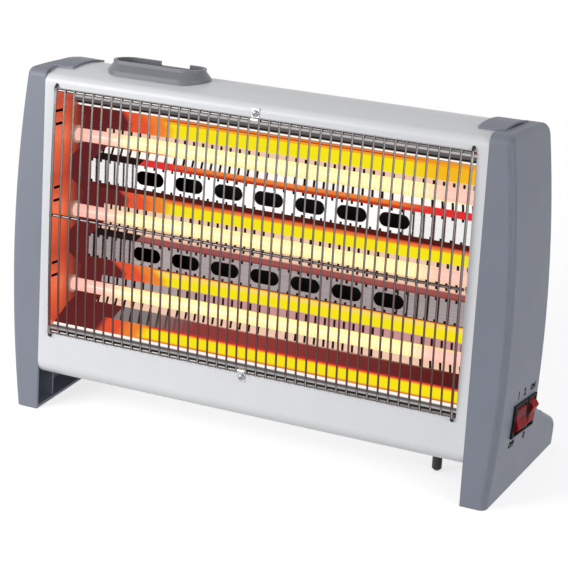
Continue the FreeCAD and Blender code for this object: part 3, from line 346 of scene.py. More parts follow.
def mixed(tree, share, first, second):
    """The first colour where the share is 0, and the second where it is 1."""
    node = tree.nodes.new("ShaderNodeMix")
    node.data_type = "RGBA"
    feed(tree, node.inputs["Factor"], share)
    for place, colour in ((FIRST_COLOUR, first), (SECOND_COLOUR, second)):
        linked = isinstance(colour, bpy.types.NodeSocket)
        feed(tree, node.inputs[place], colour if linked else (*colour, 1))
    return node.outputs[MIXED_COLOUR]


def reopened(finish):
    """The node tree and shader of an earlier finish, and the output that colours it so far."""
    tree = finish.node_tree
    shader = tree.nodes["Principled BSDF"]
    return tree, shader, shader.inputs["Base Color"].links[0].from_socket


print("out of the front:", [round(c, 3) for c in OUT_OF_FRONT])

# %% [markdown]
# ## Dark inside
# The reflector's slots look black because the inside of the casing lies in shade. A second sheet could be
# laid there. Here the rear wall's inner face, where it looks forwards, is painted near black: a painted
# shade.

# %% Painted shade on the rear wall's inner face
REAR_WALL_START, REAR_WALL_END = 60, 90.6
# Near black of the painted shade inside the casing
PAINTED_SHADE_DARK = (0.012, 0.011, 0.011)
tree, shader, painted = reopened(casing_paint)
across, setback, level = casing_place(tree)
rear_wall = between(tree, setback, REAR_WALL_START, REAR_WALL_END)
inner_face = both(tree, rear_wall, facing(tree, OUT_OF_FRONT))
feed(tree, shader.inputs["Base Color"], mixed(tree, inner_face, painted, PAINTED_SHADE_DARK))
print("inner face darkened on", casing_paint.name)

# %% [markdown]
# ## Light fronts and dark flanks
# A chromed wire shows a light front and a dark left flank, its bent ends look black, and lower down its front
# is reddish with the glow that it mirrors. Mirrors of a real room would give this. In an all-white studio the
# wire would be one even grey, so the tones are written into its finish.

# %% Fronts, flanks and hooks of the guard wire
TO_THE_RIGHT = (0.84, -0.54, 0)
FLANK_START, FLANK_END = 0.62, 0.3
RED_START, RED_FULL, RED_FOOT = 250, 120, 86
LOW_HOOK, HIGH_HOOK = 78, 311.2
RED_WIRE, DARK_WIRE = (0.15, 0.065, 0.065), (0.05, 0.047, 0.047)
tree, shader, plain_wire = reopened(guard_chrome)
across, setback, level = casing_place(tree)
near_glow = both(tree, share_between(tree, level, RED_START, RED_FULL), between(tree, level, RED_FOOT, FAR))
fronts = mixed(tree, near_glow, plain_wire, RED_WIRE)
flanks = add(tree, "MapRange", {
    "Value": turned_to(tree, TO_THE_RIGHT), "From Min": FLANK_START, "From Max": FLANK_END})
hooks = either(tree, between(tree, level, 0, LOW_HOOK), between(tree, level, HIGH_HOOK, FAR))
feed(tree, shader.inputs["Base Color"], mixed(tree, either(tree, flanks, hooks), fronts, DARK_WIRE))
print("flanks darkened on", guard_chrome.name)

# %% [markdown]
# ## The heat's colours
# The tubes glow, and the polished trough behind each one is filled with its yellow image, which runs through
# orange to dark red where the metal turns away. Lamps and mirrors alone would give this with much noise. The
# glow is written as light of the metal itself, set by how far a point lies above or below its tube.

# %% Colours of the glow
YELLOW, PALE_GOLD, AMBER = (0.92, 0.78, 0.009), (0.95, 0.70, 0.14), (0.92, 0.38, 0.015)
ORANGE, FLAME, EMBER = (0.76, 0.14, 0.045), (0.86, 0.22, 0.035), (0.79, 0.085, 0.032)
RUSSET, CRIMSON, SCARLET = (0.34, 0.085, 0.08), (0.46, 0.03, 0.012), (0.76, 0.028, 0.03)
CLARET, MAROON, DUSK = (0.27, 0.04, 0.038), (0.08, 0.009, 0.008), (0.12, 0.016, 0.018)
BLUSH, CREAM, MAUVE = (0.88, 0.58, 0.43), (1.0, 0.95, 0.88), (0.58, 0.29, 0.30)
# Near black is painted shade, and in the ticks it is the painted dark reflection of the guard's wires
BLACK_SHADE, SHADE, SILVER = (0.010, 0.006, 0.006), (0.11, 0.105, 0.11), (0.50, 0.48, 0.48)
GREY_BAR, GREY_STRIP = (0.20, 0.19, 0.19), (0.38, 0.35, 0.36)
print("the glow runs from", YELLOW, "to", MAROON)

# %% Colours seen in each trough, by millimetres above its tube
upper_trough = [
    (-20, CRIMSON), (-18.4, CRIMSON), (-17.2, FLAME), (-15.8, FLAME), (-15.3, CREAM), (-11.8, CREAM),
    (-11, YELLOW), (1.2, YELLOW), (2, BLUSH), (6.4, BLUSH), (7.2, YELLOW), (19.4, YELLOW), (20.6, AMBER),
    (22.6, AMBER), (23.2, CRIMSON), (24, CRIMSON), (24.6, FLAME), (25.8, FLAME), (26.5, MAROON),
    (27, CREAM), (28.6, CREAM), (29.2, BLACK_SHADE), (31, BLACK_SHADE), (32, SHADE), (35, SHADE), (36.2, SILVER),
    (38, SILVER), (39.4, SHADE), (42, SHADE), (44.4, SILVER), (47.5, SILVER)]
middle_trough = [
    (-20, MAROON), (-18.4, RUSSET), (-16.4, RUSSET), (-15.7, BLUSH), (-12, BLUSH), (-11, YELLOW),
    (1.2, YELLOW), (2, BLUSH), (5.6, BLUSH), (6.4, YELLOW), (15.2, YELLOW), (16.8, AMBER), (18.5, FLAME),
    (21, ORANGE), (22.8, CRIMSON), (23.8, MAROON), (30.5, MAROON)]
lower_trough = [
    (-37.5, SHADE), (-36.7, SILVER), (-35.8, SHADE), (-34.6, SHADE), (-34, CREAM), (-32.7, CREAM),
    (-32.3, CRIMSON), (-31.6, AMBER), (-30.8, YELLOW), (-25.8, YELLOW), (-25, AMBER), (-24.2, SCARLET),
    (-22.8, CLARET), (-16.4, CLARET), (-15.7, BLUSH), (-11.8, BLUSH), (-11, YELLOW), (1, YELLOW), (2, MAUVE),
    (8.6, MAUVE), (9.4, YELLOW), (19, YELLOW), (22, PALE_GOLD), (26, PALE_GOLD), (28.4, AMBER),
    (29.2, CRIMSON), (30.5, MAROON)]


def trough_glow(tree, level, tube, stops):
    """The colours of one trough, from stops of (millimetres above its tube, colour)."""
    low, high = stops[0][0], stops[-1][0]
    share = share_between(tree, level, tube + low, tube + high)
    return blend_of(tree, share, [((place - low) / (high - low), colour) for place, colour in stops])


print("stops:", len(upper_trough), len(middle_trough), len(lower_trough))

# %% [markdown]
# ## Flat bands, strips and ticks
# Between two troughs a flat band with slots stays bare and bright. Above and below each tube runs a pale
# strip, the mirror image of the tube, crossed by dark ticks, the mirror images of the guard's wires. The
# ticks could be thin pieces of mesh. As shares of the finish they cost nothing and keep the sheet whole.

# %% Where the bands, strips and ticks are
BAND_FOOT, BAND_TOP = -41.5, -19.5
BAND_START, STRIP_START = -187, -184
UNDER_STRIP, OVER_STRIP, LOWEST_OVER_STRIP = (-15.6, -11.7), (1.8, 6.0), (1.8, 8.2)
BROW_FOOT, SILL_TOP = 26.7, -32.6
TICK_PITCH, TICK_START, TICK_SLANT, TICK_HALF = 9.57, 75.2, 0.45, 1.2
upper_tube, middle_tube, lower_tube = TUBE_LEVELS
reflector_sheet, tree, shader = start_finish("reflector_sheet")
across, setback, level = casing_place(tree)
upper_band = around_tubes(tree, level, [upper_tube], [(BAND_FOOT, BAND_TOP)])
lower_band = around_tubes(tree, level, [middle_tube], [(BAND_FOOT, BAND_TOP)])
flat_band = both(tree, either(tree, upper_band, lower_band), between(tree, across, BAND_START, FAR))
strips = around_tubes(tree, level, TUBE_LEVELS, [UNDER_STRIP, OVER_STRIP])
strips = either(tree, strips, around_tubes(tree, level, [lower_tube], [LOWEST_OVER_STRIP]))
strips = both(tree, strips, between(tree, across, STRIP_START, FAR))
brow = between(tree, level, upper_tube + BROW_FOOT, FAR)
sill = between(tree, level, 0, lower_tube + SILL_TOP)
slanted = add(tree, "Math", {0: both(tree, setback, TICK_SLANT), 1: across})
started = add(tree, "Math", {0: slanted, 1: TICK_START * MM})
beat = add(tree, "Math", {0: started, 1: TICK_PITCH / 2 * MM}, operation="PINGPONG")
tick_lines = between(tree, beat, -1, TICK_HALF)
print("ticks every", TICK_PITCH, "mm")

# %% [markdown]
# ## The glow from top to bottom
# Each trough has its own tube and its own colours, and towards the right end they cool. Three finishes on
# three strips would need seams. One finish picks a trough by its level, and the cooler zones are laid over.

# %% Three troughs on one sheet
TROUGH_FOOT = -30
COOL_START, COOL_END, COOLED = 112, 160, 0.75
ABOVE_STRIP, LOW_WALL = (7, 26), (-23.5, -15.6)
RED_LEFT_START, RED_LEFT_FULL = -70, -110
DARK_RIGHT_START, DARK_RIGHT_END = 0, 190
upper, middle, lower = [trough_glow(tree, level, tube, stops) for tube, stops in zip(
    TUBE_LEVELS, (upper_trough, middle_trough, lower_trough))]
bright = mixed(tree, between(tree, level, middle_tube + TROUGH_FOOT, FAR), lower, middle)
bright = mixed(tree, between(tree, level, upper_tube + TROUGH_FOOT, FAR), bright, upper)
right_end = share_between(tree, across, COOL_START, COOL_END, smooth=True)
above_upper = around_tubes(tree, level, [upper_tube], [ABOVE_STRIP])
bright = mixed(tree, both(tree, both(tree, right_end, above_upper), COOLED), bright, AMBER)
below_strip = (BAND_TOP, UNDER_STRIP[0])
below_strips = around_tubes(tree, level, (upper_tube, middle_tube), [below_strip])
below_upper = around_tubes(tree, level, [upper_tube], [below_strip])
both_ends = either(tree, right_end, share_between(tree, across, RED_LEFT_START, RED_LEFT_FULL))
bright = mixed(tree, both(tree, both_ends, below_upper), bright, SCARLET)
low_wall = around_tubes(tree, level, [lower_tube], [LOW_WALL])
darker_right = share_between(tree, across, DARK_RIGHT_START, DARK_RIGHT_END)
bright = mixed(tree, both(tree, low_wall, darker_right), bright, MAROON)
print("glow of", len(TUBE_LEVELS), "troughs")

# %% [markdown]
# ## The glow from left to right
# The left end of the reflector mirrors the end plate: it is dark red, then red and orange, and the bright
# colours begin a hand's breadth in. A dark sheet could stand there. Here the same finish fades across, and
# the strips, the top and the bottom edge are kept out of the fade.

# %% The dark left end
DARK_END, BRIGHT_START, LIT_START, LIT_END = -170, -110, -124, -108
BLACK_END, BARS_START, BARS_FADE, BARS_FULL = -136, -153, -70, -120
DARK_TOP, GREY_SPAN, GREY_FADE, GREY_FULL = (23.4, 31), (1.8, 8.4), -40, -130
FAINTER = 0.9
left_end = blend_of(tree, share_between(tree, across, DARK_END, BRIGHT_START), [
    (0.0, DUSK), (0.10, DUSK), (0.22, EMBER), (0.45, EMBER), (0.64, FLAME), (0.75, FLAME), (1.0, AMBER)])
# Painted shade: black below the strips towards the left end
black_start = both(tree, below_strips, between(tree, across, STRIP_START, BLACK_END))
left_end = mixed(tree, black_start, left_end, BLACK_SHADE)
before_bars = both(tree, low_wall, between(tree, across, -FAR, BARS_START))
left_end = mixed(tree, before_bars, left_end, DUSK)
lit = either(tree, share_between(tree, across, LIT_START, LIT_END, smooth=True), either(tree, strips, brow))
lit = either(tree, lit, sill)
lit = either(tree, lit, both(tree, below_strips, between(tree, across, BLACK_END, FAR)))
dark_top = around_tubes(tree, level, [middle_tube], [DARK_TOP])
lit = either(tree, lit, both(tree, dark_top, between(tree, across, STRIP_START, FAR)))
print("bright from", LIT_END, "mm")

# %% Grey strip, grey bars and ticks
# Painted reflection: the pale strip above the lowest tube turns grey towards the left
grey_strip = around_tubes(tree, level, [lower_tube], [GREY_SPAN])
grey_strip = both(tree, grey_strip, share_between(tree, across, GREY_FADE, GREY_FULL))
bright = mixed(tree, grey_strip, bright, GREY_STRIP)
# Painted reflections: grey bars on the wall below the lowest tube, towards the left end
bars = both(tree, between(tree, across, BARS_START, FAR), share_between(tree, across, BARS_FADE, BARS_FULL))
bars = both(tree, low_wall, bars)
glow = mixed(tree, bars, mixed(tree, lit, left_end, bright), GREY_BAR)
ticks = both(tree, either(tree, strips, both(tree, bars, FAINTER)), tick_lines)
feed(tree, shader.inputs["Emission Color"], mixed(tree, ticks, glow, BLACK_SHADE))
not_flat = add(tree, "Math", {0: 1.0, 1: flat_band}, operation="SUBTRACT")
feed(tree, shader.inputs["Emission Strength"], both(tree, not_flat, facing(tree, OUT_OF_FRONT)))
print("glow linked on", reflector_sheet.name)

# %% [markdown]
# ## The reflector's metal
# The flat bands are bright rolled sheet, a true mirror at their ends and softer in the middle. The dark
# ticks along their edges are painted reflections of the guard's wires, and the band below the upper tube is
# the same sheet painted darker and redder, a painted shade. In the troughs the glow drowns the metal. A metal
# of one gloss would mirror the studio everywhere, so the sheet is metal on the bands and dark in the troughs.

# %% Bright bands and dark troughs
ROLLED = (12, 900, 900)
BAND_EDGE_LOW, BAND_EDGE_HIGH = 2.2, 2.6
MIRROR_LEFT, MIRROR_RIGHT = -138, 128
GLOSSY, DULL, SOFTER, CLEARER = 0.14, 0.3, 2.2, 0.1
rolled = add(tree, "Mapping", {"Vector": add(tree, "TexCoord", {}, "Object"), "Scale": ROLLED})
lines = add(tree, "TexNoise", {"Vector": rolled, "Scale": 1.0, "Detail": 4.0})
polished = mottled(tree, lines, (0.84, 0.83, 0.82), (0.93, 0.92, 0.91))
# Painted shade: the band below the upper tube is this same sheet, darker and redder
darker_tone = mottled(tree, lines, (0.31, 0.27, 0.27), (0.40, 0.35, 0.35))
dark_under_glow = mottled(tree, lines, (0.006, 0.004, 0.003), (0.012, 0.008, 0.006))
# Painted reflections of the guard's wires: dark ticks along the bands' edges
band_edges = around_tubes(tree, level, (upper_tube, middle_tube), [
    (BAND_FOOT, BAND_FOOT + BAND_EDGE_LOW), (BAND_TOP - BAND_EDGE_HIGH, BAND_TOP)])
band_metal = mixed(tree, upper_band, darker_tone, polished)
band_metal = mixed(tree, both(tree, band_edges, tick_lines), band_metal, BLACK_SHADE)
feed(tree, shader.inputs["Base Color"], mixed(tree, flat_band, dark_under_glow, band_metal))
ends = either(tree, between(tree, across, -FAR, MIRROR_LEFT), between(tree, across, MIRROR_RIGHT, FAR))
soft_middle = ranged(tree, flat_band, 1.0, SOFTER)
clear_ends = ranged(tree, both(tree, flat_band, ends), 1.0, CLEARER)
dullness = both(tree, ranged(tree, lines, GLOSSY, DULL), soft_middle)
feed(tree, shader.inputs["Roughness"], both(tree, dullness, clear_ends))
feed(tree, shader.inputs["Metallic"], flat_band)
shader.inputs["Specular IOR Level"].default_value = 0.0
print("reflector finish:", reflector_sheet.name)

# %% [markdown]
# ## The end plates' glow
# The steel plates that carry the tubes stand square to them and catch their light at a glance: bright orange
# beside each tube and darker between. Lamps inside the casing could light them. This is the same idea as on
# the reflector, with fewer colours.

# %% Bracket steel with painted glow
WAVE_START = 82.2
PLATE_FOOT, PLATE_FULL, PLATE_BACK, PLATE_LIT = 70, 84, 66, 60
DEEP_START, DEEP_END = 18, 52
BETWEEN_TUBES, BESIDE_TUBE, DEEP_RED = (0.50, 0.055, 0.025), (0.80, 0.12, 0.035), (0.13, 0.02, 0.018)
bracket_steel, tree, shader = start_finish("bracket_steel")
across, setback, level = casing_place(tree)
risen = add(tree, "Math", {0: level, 1: WAVE_START * MM}, operation="SUBTRACT")
turns = add(tree, "Math", {0: risen, 1: TUBE_PITCH * MM}, operation="DIVIDE")
phase = add(tree, "Math", {0: turns}, operation="FRACT")
# Painted light of the tubes: orange beside each tube, darker between, and a darker red further back
plate_glow = blend_of(tree, phase, [(0.0, BETWEEN_TUBES), (0.5, BESIDE_TUBE), (1.0, BETWEEN_TUBES)])
plate_glow = mixed(tree, share_between(tree, setback, DEEP_START, DEEP_END, smooth=True), plate_glow, DEEP_RED)
within = both(tree, share_between(tree, level, PLATE_FOOT, PLATE_FULL),
              share_between(tree, setback, PLATE_BACK, PLATE_LIT))
feed(tree, shader.inputs["Emission Color"], mixed(tree, within, (0.0, 0.0, 0.0), plate_glow))
side = add(tree, "Math", {0: across}, operation="SIGN")
inwards = add(tree, "CombineXYZ", {"X": both(tree, side, -1.0)})
feed(tree, shader.inputs["Emission Strength"], facing(tree, inwards))
scale_marks = noise(tree, scale=160.0, detail=5.0)
feed(tree, shader.inputs["Base Color"], mottled(tree, scale_marks, (0.12, 0.10, 0.09), (0.2, 0.17, 0.15)))
feed(tree, shader.inputs["Roughness"], ranged(tree, scale_marks, 0.3, 0.55))
shader.inputs["Metallic"].default_value = 1
print("bracket finish:", bracket_steel.name)

# %% [markdown]
# ## Quartz tubes
# Each tube is milky quartz round a glowing coil, so it looks like a cream rod with the coil's turns just
# showing. Fully clear glass would show the coil alone. Here the quartz glows itself, in faint bands a coil
# turn apart, paler and pinker at its cooler ends.

# %% Milky, glowing quartz
COIL_PITCH = 4.0
PINK_START, PINK_FULL, PINK = 140, 172, (0.72, 0.38, 0.33)
tube_quartz, tree, shader = start_finish("tube_quartz")
across, setback, level = casing_place(tree)
angle = both(tree, across, 2 * math.pi / (COIL_PITCH * MM))
wave = add(tree, "Math", {0: angle}, operation="SINE")
bands = add(tree, "MapRange", {"Value": wave, "From Min": -1.0})
hot = blend_of(tree, bands, [(0.0, (0.76, 0.63, 0.24)), (1.0, (0.83, 0.75, 0.40))])
from_middle = add(tree, "Math", {0: across}, operation="ABSOLUTE")
ends = share_between(tree, from_middle, PINK_START, PINK_FULL, smooth=True)
feed(tree, shader.inputs["Emission Color"], mixed(tree, ends, hot, PINK))
shader.inputs["Emission Strength"].default_value = 1.0
clouds = noise(tree, scale=300.0, detail=3.0)
feed(tree, shader.inputs["Base Color"], mottled(tree, clouds, (0.30, 0.27, 0.22), (0.40, 0.37, 0.31)))
shader.inputs["Roughness"].default_value = 0.18
shader.inputs["Transmission Weight"].default_value = 0.25
print("quartz finish:", tube_quartz.name)

# %% [markdown]
# ## Ceramic collars, coil wire and the red rockers
# The collars that hold the tubes are unglazed ceramic, chalky and a little stained, and the coils are wire at
# full heat. The rockers are tinted plastic with a dark depth. Clear plastic would show nothing behind it, so
# a deep red base with little shine gives that depth.

# %% Collar ceramic, coil wire and rocker red
collar_ceramic = grained_finish("collar_ceramic", (0.78, 0.70, 0.60), 0.08, 0.75, 0.5, 0.05)
core_filament, tree, shader = start_finish("core_filament")
uneven = noise(tree, scale=60.0, detail=2.0)
feed(tree, shader.inputs["Emission Color"], mottled(tree, uneven, (1.0, 0.42, 0.06), (1.0, 0.62, 0.16)))
shader.inputs["Emission Strength"].default_value = 2.5
shader.inputs["Base Color"].default_value = (0.3, 0.2, 0.15, 1)

rocker_red, tree, shader = start_finish("rocker_red")
streaks = noise(tree, scale=70.0, detail=2.0)
feed(tree, shader.inputs["Base Color"], mottled(tree, streaks, (0.15, 0.002, 0.004), (0.40, 0.007, 0.010)))
shader.inputs["Roughness"].default_value = 0.4
shader.inputs["Specular IOR Level"].default_value = 0.06
print("small finishes:", collar_ceramic.name, core_filament.name, rocker_red.name)

# %% [markdown]
# ## Finishes on the CAD pieces
# The record names the material of every piece, so no piece needs to be listed here again. A loop looks each
# name up among the finishes and puts that finish on the piece's mesh.

# %% Every CAD node gets its finish
finishes = {f.name: f for f in (
    casing_paint, panel_plastic, tray_plastic, switch_black, plunger_plastic, guide_plastic, gland_rubber,
    terminal_plastic, guard_chrome, clip_chrome, screw_steel, link_steel, reflector_sheet, bracket_steel,
    tube_quartz, collar_ceramic, core_filament, rocker_red)}
for part in frame["record"]["subparts"]:
    give_finish(nodes[part["node"]].data, finishes[part["material_slot"]])

# %% [markdown]
# ## Round guard wire
# The CAD guard has six-sided wires to stay light. The real one is round drawn wire: bowed uprights over three
# cross wires, and at each end an upright bent back into the casing. A curve with a round bevel draws a wire
# from its centre line alone, and one curve holds them all.

# %% Centre lines of the guard
GUARD_TOP, GUARD_BOTTOM, CROSS_LEVEL = 309, 80, 192.4
EDGE, BOW, STAND = 205, 2.8, 2.2
WIRE_PITCH, WIRE_COUNT = 10, 40
UPRIGHT_RADIUS, END_RADIUS, CROSS_RADIUS = 1.0, 1.3, 1.5
OVERHANG, END_OVERHANG, CROSS_OVERHANG = 1.6, 3.6, 2.3
HOOK_FRONT, HOOK_BACK, HOOK_BOTTOM, HOOK_TOP = -0.6, 3.5, 75.3, 313.7
RAIL_SETBACK, CROSS_SETBACK = -0.1, -2.9
half_chord = (GUARD_TOP - GUARD_BOTTOM) / 2
middle_level = (GUARD_TOP + GUARD_BOTTOM) / 2
bow_radius = (half_chord ** 2 + BOW ** 2) / (2 * BOW)


def bowed(level):
    """The setback of an upright's centre line at a level."""
    return -STAND - BOW + bow_radius - math.sqrt(bow_radius ** 2 - (level - middle_level) ** 2)


def upright(across, overhang, steps=14):
    """Points along a bowed wire that passes the guard's ends by the overhang."""
    low, high = GUARD_BOTTOM - overhang, GUARD_TOP + overhang
    levels = [low + (high - low) * k / steps for k in range(steps + 1)]
    return [(across, bowed(level), level) for level in levels]


wires = [(upright(-EDGE + WIRE_PITCH * k, OVERHANG), UPRIGHT_RADIUS) for k in range(1, WIRE_COUNT + 1)]
for across in (-EDGE, EDGE):
    low_hook = [(across, HOOK_BACK, HOOK_BOTTOM), (across, HOOK_FRONT, HOOK_BOTTOM)]
    high_hook = [(across, HOOK_FRONT, HOOK_TOP), (across, HOOK_BACK, HOOK_TOP)]
    wires.append((low_hook + upright(across, END_OVERHANG) + high_hook, END_RADIUS))
for setback, level in ((RAIL_SETBACK, GUARD_TOP), (RAIL_SETBACK, GUARD_BOTTOM), (CROSS_SETBACK, CROSS_LEVEL)):
    cross_end = EDGE + CROSS_OVERHANG
    wires.append(([(-cross_end, setback, level), (cross_end, setback, level)], CROSS_RADIUS))
print("wires:", len(wires))

# %% The wires as one piece
def wire_piece(name, lines, smooth_sides):
    """A mesh of round wires from (points in the casing's directions, radius in millimetres)."""
    curve = bpy.data.curves.new(name, "CURVE")
    curve.dimensions = "3D"
    curve.bevel_depth = MM
    curve.bevel_resolution = smooth_sides
    curve.use_fill_caps = True
    for points, radius in lines:
        spline = curve.splines.new("POLY")
        spline.points.add(len(points) - 1)
        for point, spot in zip(spline.points, points):
            point.co = (*at(*spot), 1)
            point.radius = radius
    holder = bpy.data.objects.new(name + "_lines", curve)
    piece = placed(name, bpy.data.meshes.new_from_object(holder))
    bpy.data.objects.remove(holder)
    piece.data.shade_smooth()
    return piece


guard_wires = wire_piece("guard_wires", wires, smooth_sides=2)
give_finish(guard_wires.data, guard_chrome)
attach(guard_wires, "heater")
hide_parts("front_guard")
print("guard faces:", len(guard_wires.data.polygons))

# %% [markdown]
# ## Heating coils
# Inside each tube the current runs through a wound resistance wire. The CAD model has a plain rod for it. A
# coil is one line round a cylinder, so the same wire helper draws it, and the rod is left out.

# %% Wound coils in the tubes
TUBE_SETBACK = 37.7
COIL_REACH, COIL_RADIUS, COIL_WIRE, LEAD_END = 198, 2.9, 0.45, 228


def coil_line(level, steps=10):
    """Points of one coil along a tube, with a straight lead at each end."""
    count = int(2 * COIL_REACH / COIL_PITCH * steps)
    points = [(-LEAD_END, TUBE_SETBACK, level)]
    for k in range(count + 1):
        angle = 2 * math.pi * k / steps
        across = -COIL_REACH + 2 * COIL_REACH * k / count
        back, up = COIL_RADIUS * math.cos(angle), COIL_RADIUS * math.sin(angle)
        points.append((across, TUBE_SETBACK + back, level + up))
    return points + [(LEAD_END, TUBE_SETBACK, level)]


for name, level in zip(("upper", "middle", "lower"), TUBE_LEVELS):
    coil = wire_piece(f"{name}_coil", [(coil_line(level), COIL_WIRE)], smooth_sides=0)
    give_finish(coil.data, core_filament)
    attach(coil, "heater")
    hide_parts(f"{name}_tube_core")
    print(coil.name, "faces:", len(coil.data.polygons))

# %% [markdown]
# ## Screws
# Plated screws with a domed head and a cross recess hold the guard's clips and the rear cover. A head could
# be modelled face by face. The dome is a profile turned about its axis, and the recess is cut with a tapered
# cross, as a tool would form it.

# %% A turned form and a cross to cut with
ARM_SHARE, FOOT_SHARE = 0.12, 0.45


def mesh_of(form, name):
    """The mesh of a form that is then freed."""
    mesh = bpy.data.meshes.new(name)
    form.to_mesh(mesh)
    form.free()
    return mesh


def turned(name, profile, sides=32):
    """A mesh turned about Z from (radius, height) points in millimetres, first and last on the axis."""
    form = bmesh.new()
    line = [form.verts.new((radius * MM, 0, height * MM)) for radius, height in profile]
    edges = [form.edges.new(pair) for pair in zip(line, line[1:])]
    bmesh.ops.spin(form, geom=line + edges, cent=(0, 0, 0), axis=(0, 0, 1), angle=2 * math.pi, steps=sides)
    bmesh.ops.remove_doubles(form, verts=form.verts, dist=1e-6)
    bmesh.ops.recalc_face_normals(form, faces=form.faces)
    return mesh_of(form, name)


def recess_cross(size, depth):
    """A cross that tapers downwards, as one closed form, for cutting a recess."""
    arm, half = size / 2, size * ARM_SHARE
    outline = []
    for quarter in range(4):
        for x, y in ((arm, -half), (arm, half), (half, half)):
            for turn in range(quarter):
                x, y = -y, x
            outline.append((x, y))
    form = bmesh.new()
    foot, top = [[form.verts.new((x * share * MM, y * share * MM, height * MM)) for x, y in outline]
                 for height, share in ((-depth, FOOT_SHARE), (depth, 1.0))]
    form.faces.new(reversed(foot))
    form.faces.new(top)
    for k in range(len(outline)):
        form.faces.new((foot[k - 1], foot[k], top[k], top[k - 1]))
    return mesh_of(form, "recess_cross")


print("recess arms are", ARM_SHARE * 2, "of its size")

# %% A domed screw with a cross recess
DOME_STEPS, RIM_SHARE = 7, 0.35
RECESS_SIZE, RECESS_DEPTH, POINT_LENGTH = 0.52, 0.6, 1
SHARP_ANGLE = math.radians(35)


def screw_mesh(name, head, rise, shank, length):
    """A domed screw standing on Z = 0, its shank below, with a cross recess."""
    angles = [math.pi / 2 * k / DOME_STEPS for k in range(1, DOME_STEPS + 1)]
    dome = [(head / 2 * math.sin(a), rise * (RIM_SHARE + (1 - RIM_SHARE) * math.cos(a))) for a in angles]
    below = [(head / 2, 0), (shank / 2, 0), (shank / 2, -length + POINT_LENGTH), (0, -length)]
    body = placed(name, turned(name, [(0, rise)] + dome + below))
    blades = placed("blades", recess_cross(head * RECESS_SIZE, rise * RECESS_DEPTH))
    blades.location.z = rise * MM
    cut = body.modifiers.new("recess", "BOOLEAN")
    cut.operation, cut.object, cut.solver = "DIFFERENCE", blades, "EXACT"
    bpy.context.view_layer.update()
    mesh = bpy.data.meshes.new_from_object(body.evaluated_get(bpy.context.evaluated_depsgraph_get()))
    for item in (body, blades):
        bpy.data.objects.remove(item)
    mesh.shade_smooth()
    mesh.set_sharp_from_angle(angle=SHARP_ANGLE)
    give_finish(mesh, screw_steel)
    return mesh


clip_screw = screw_mesh("clip_screw", head=6.0, rise=2.0, shank=2.9, length=5.0)
print("screw faces:", len(clip_screw.polygons))

# %% Screws of the clips and the rear cover
CLIP_FRONT, UPPER_CLIP, LOWER_CLIP = -0.6, 314.7, 74.3
COVER_BACK, COVER_SIDES, COVER_LEVELS = 91.2, (-203.5, 203.5), (66, 175, 284)
UPPER_TURN, LOWER_TURN, COVER_TURN = 0.5, 1.1, 0.7
out_of_front = leaning @ Matrix.Rotation(math.pi / 2, 4, "X")
out_of_rear = leaning @ Matrix.Rotation(-math.pi / 2, 4, "X")


def set_screw(name, mesh, place, outwards, turn):
    """Sets one screw at (across, setback, level), its head out of the front or the rear."""
    piece = placed(name, mesh)
    rotation = outwards.to_3x3().to_4x4() @ Matrix.Rotation(turn, 4, "Z")
    piece.matrix_world = Matrix.Translation(at(*place)) @ rotation
    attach(piece, "heater")
    return piece


upper_screw = set_screw("clip_screw_upper", clip_screw, (0, CLIP_FRONT, UPPER_CLIP), out_of_front, UPPER_TURN)
set_screw("clip_screw_lower", clip_screw, (0, CLIP_FRONT, LOWER_CLIP), out_of_front, LOWER_TURN)
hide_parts("guard_clip_screws")
count = 0
for across in COVER_SIDES:
    for level in COVER_LEVELS:
        count += 1
        place = (across, COVER_BACK, level)
        set_screw(f"cover_screw_{count}", clip_screw, place, out_of_rear, COVER_TURN * count)
print("cover screws:", count)

# %% [markdown]
# ## Printed marks
# Plain marks beside the rockers say what each position does. Print has no thickness to speak of, so each mark
# is flat text laid on the panel. The panel is bowed, so every point of a mark is moved out to the bow at its
# own level, a hair proud of the plastic.

# %% Ink and letters
PANEL_INNER, PANEL_THICK, BOW_RADIUS, BOW_LEVEL = 218, 32.7, 1250, 150.7
TEXT_SIZE, BOLDER, PROUD = 1.38, 0.55, 0.06
INK, WORN_INK = (0.004, 0.004, 0.005), (0.010, 0.010, 0.012)
mark_ink, tree, shader = start_finish("mark_ink")
worn = noise(tree, scale=900.0, detail=3.0)
feed(tree, shader.inputs["Base Color"], blend_of(tree, worn, [(0.35, INK), (0.75, WORN_INK)]))
shader.inputs["Roughness"].default_value = 0.6
shader.inputs["Specular IOR Level"].default_value = 0.05


def panel_side(level):
    """How far out the bowed side stands at a level."""
    return PANEL_INNER + PANEL_THICK - BOW_RADIUS + math.sqrt(BOW_RADIUS ** 2 - (level - BOW_LEVEL) ** 2)


def printed(name, words, setback, level, height):
    """Flat text on the right panel's side, centred on a setback and level."""
    text = bpy.data.curves.new(name, "FONT")
    text.body, text.size = words, height * MM * TEXT_SIZE
    text.align_x, text.align_y = "CENTER", "CENTER"
    text.offset = BOLDER * MM
    holder = bpy.data.objects.new(name + "_text", text)
    piece = placed(name, bpy.data.meshes.new_from_object(holder))
    bpy.data.objects.remove(holder)
    for vert in piece.data.vertices:
        back, up = setback + vert.co.x / MM, level + vert.co.y / MM
        vert.co = at(panel_side(up) + PROUD, back, up)
    give_finish(piece.data, mark_ink)
    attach(piece, "heater")
    return piece


print("ink:", mark_ink.name)

# %% Marks laid on the bowed side
# Each mark: name, words, setback, level and height.
for name, words, setback, level, height in (
        ("mark_off", "OFF", 37, 51.8, 5.4), ("mark_zero", "0", 67, 52.0, 6.0),
        ("mark_one", "1", 39, 96, 6.4), ("mark_two", "2", 53.5, 96, 6.4), ("mark_on", "ON", 73, 96, 5.2)):
    mark = printed(name, words, setback, level, height)
    print(mark.name, "points:", len(mark.data.vertices))

# %% [markdown]
# ## Floor and surroundings
# The heater stands on a white studio floor in a white room. A grey floor would tint it, and a floor lit to
# white would need too much light on the heater. So the floor and the world are white to the camera and to
# mirrors, and the floor still takes the heater's shadow.

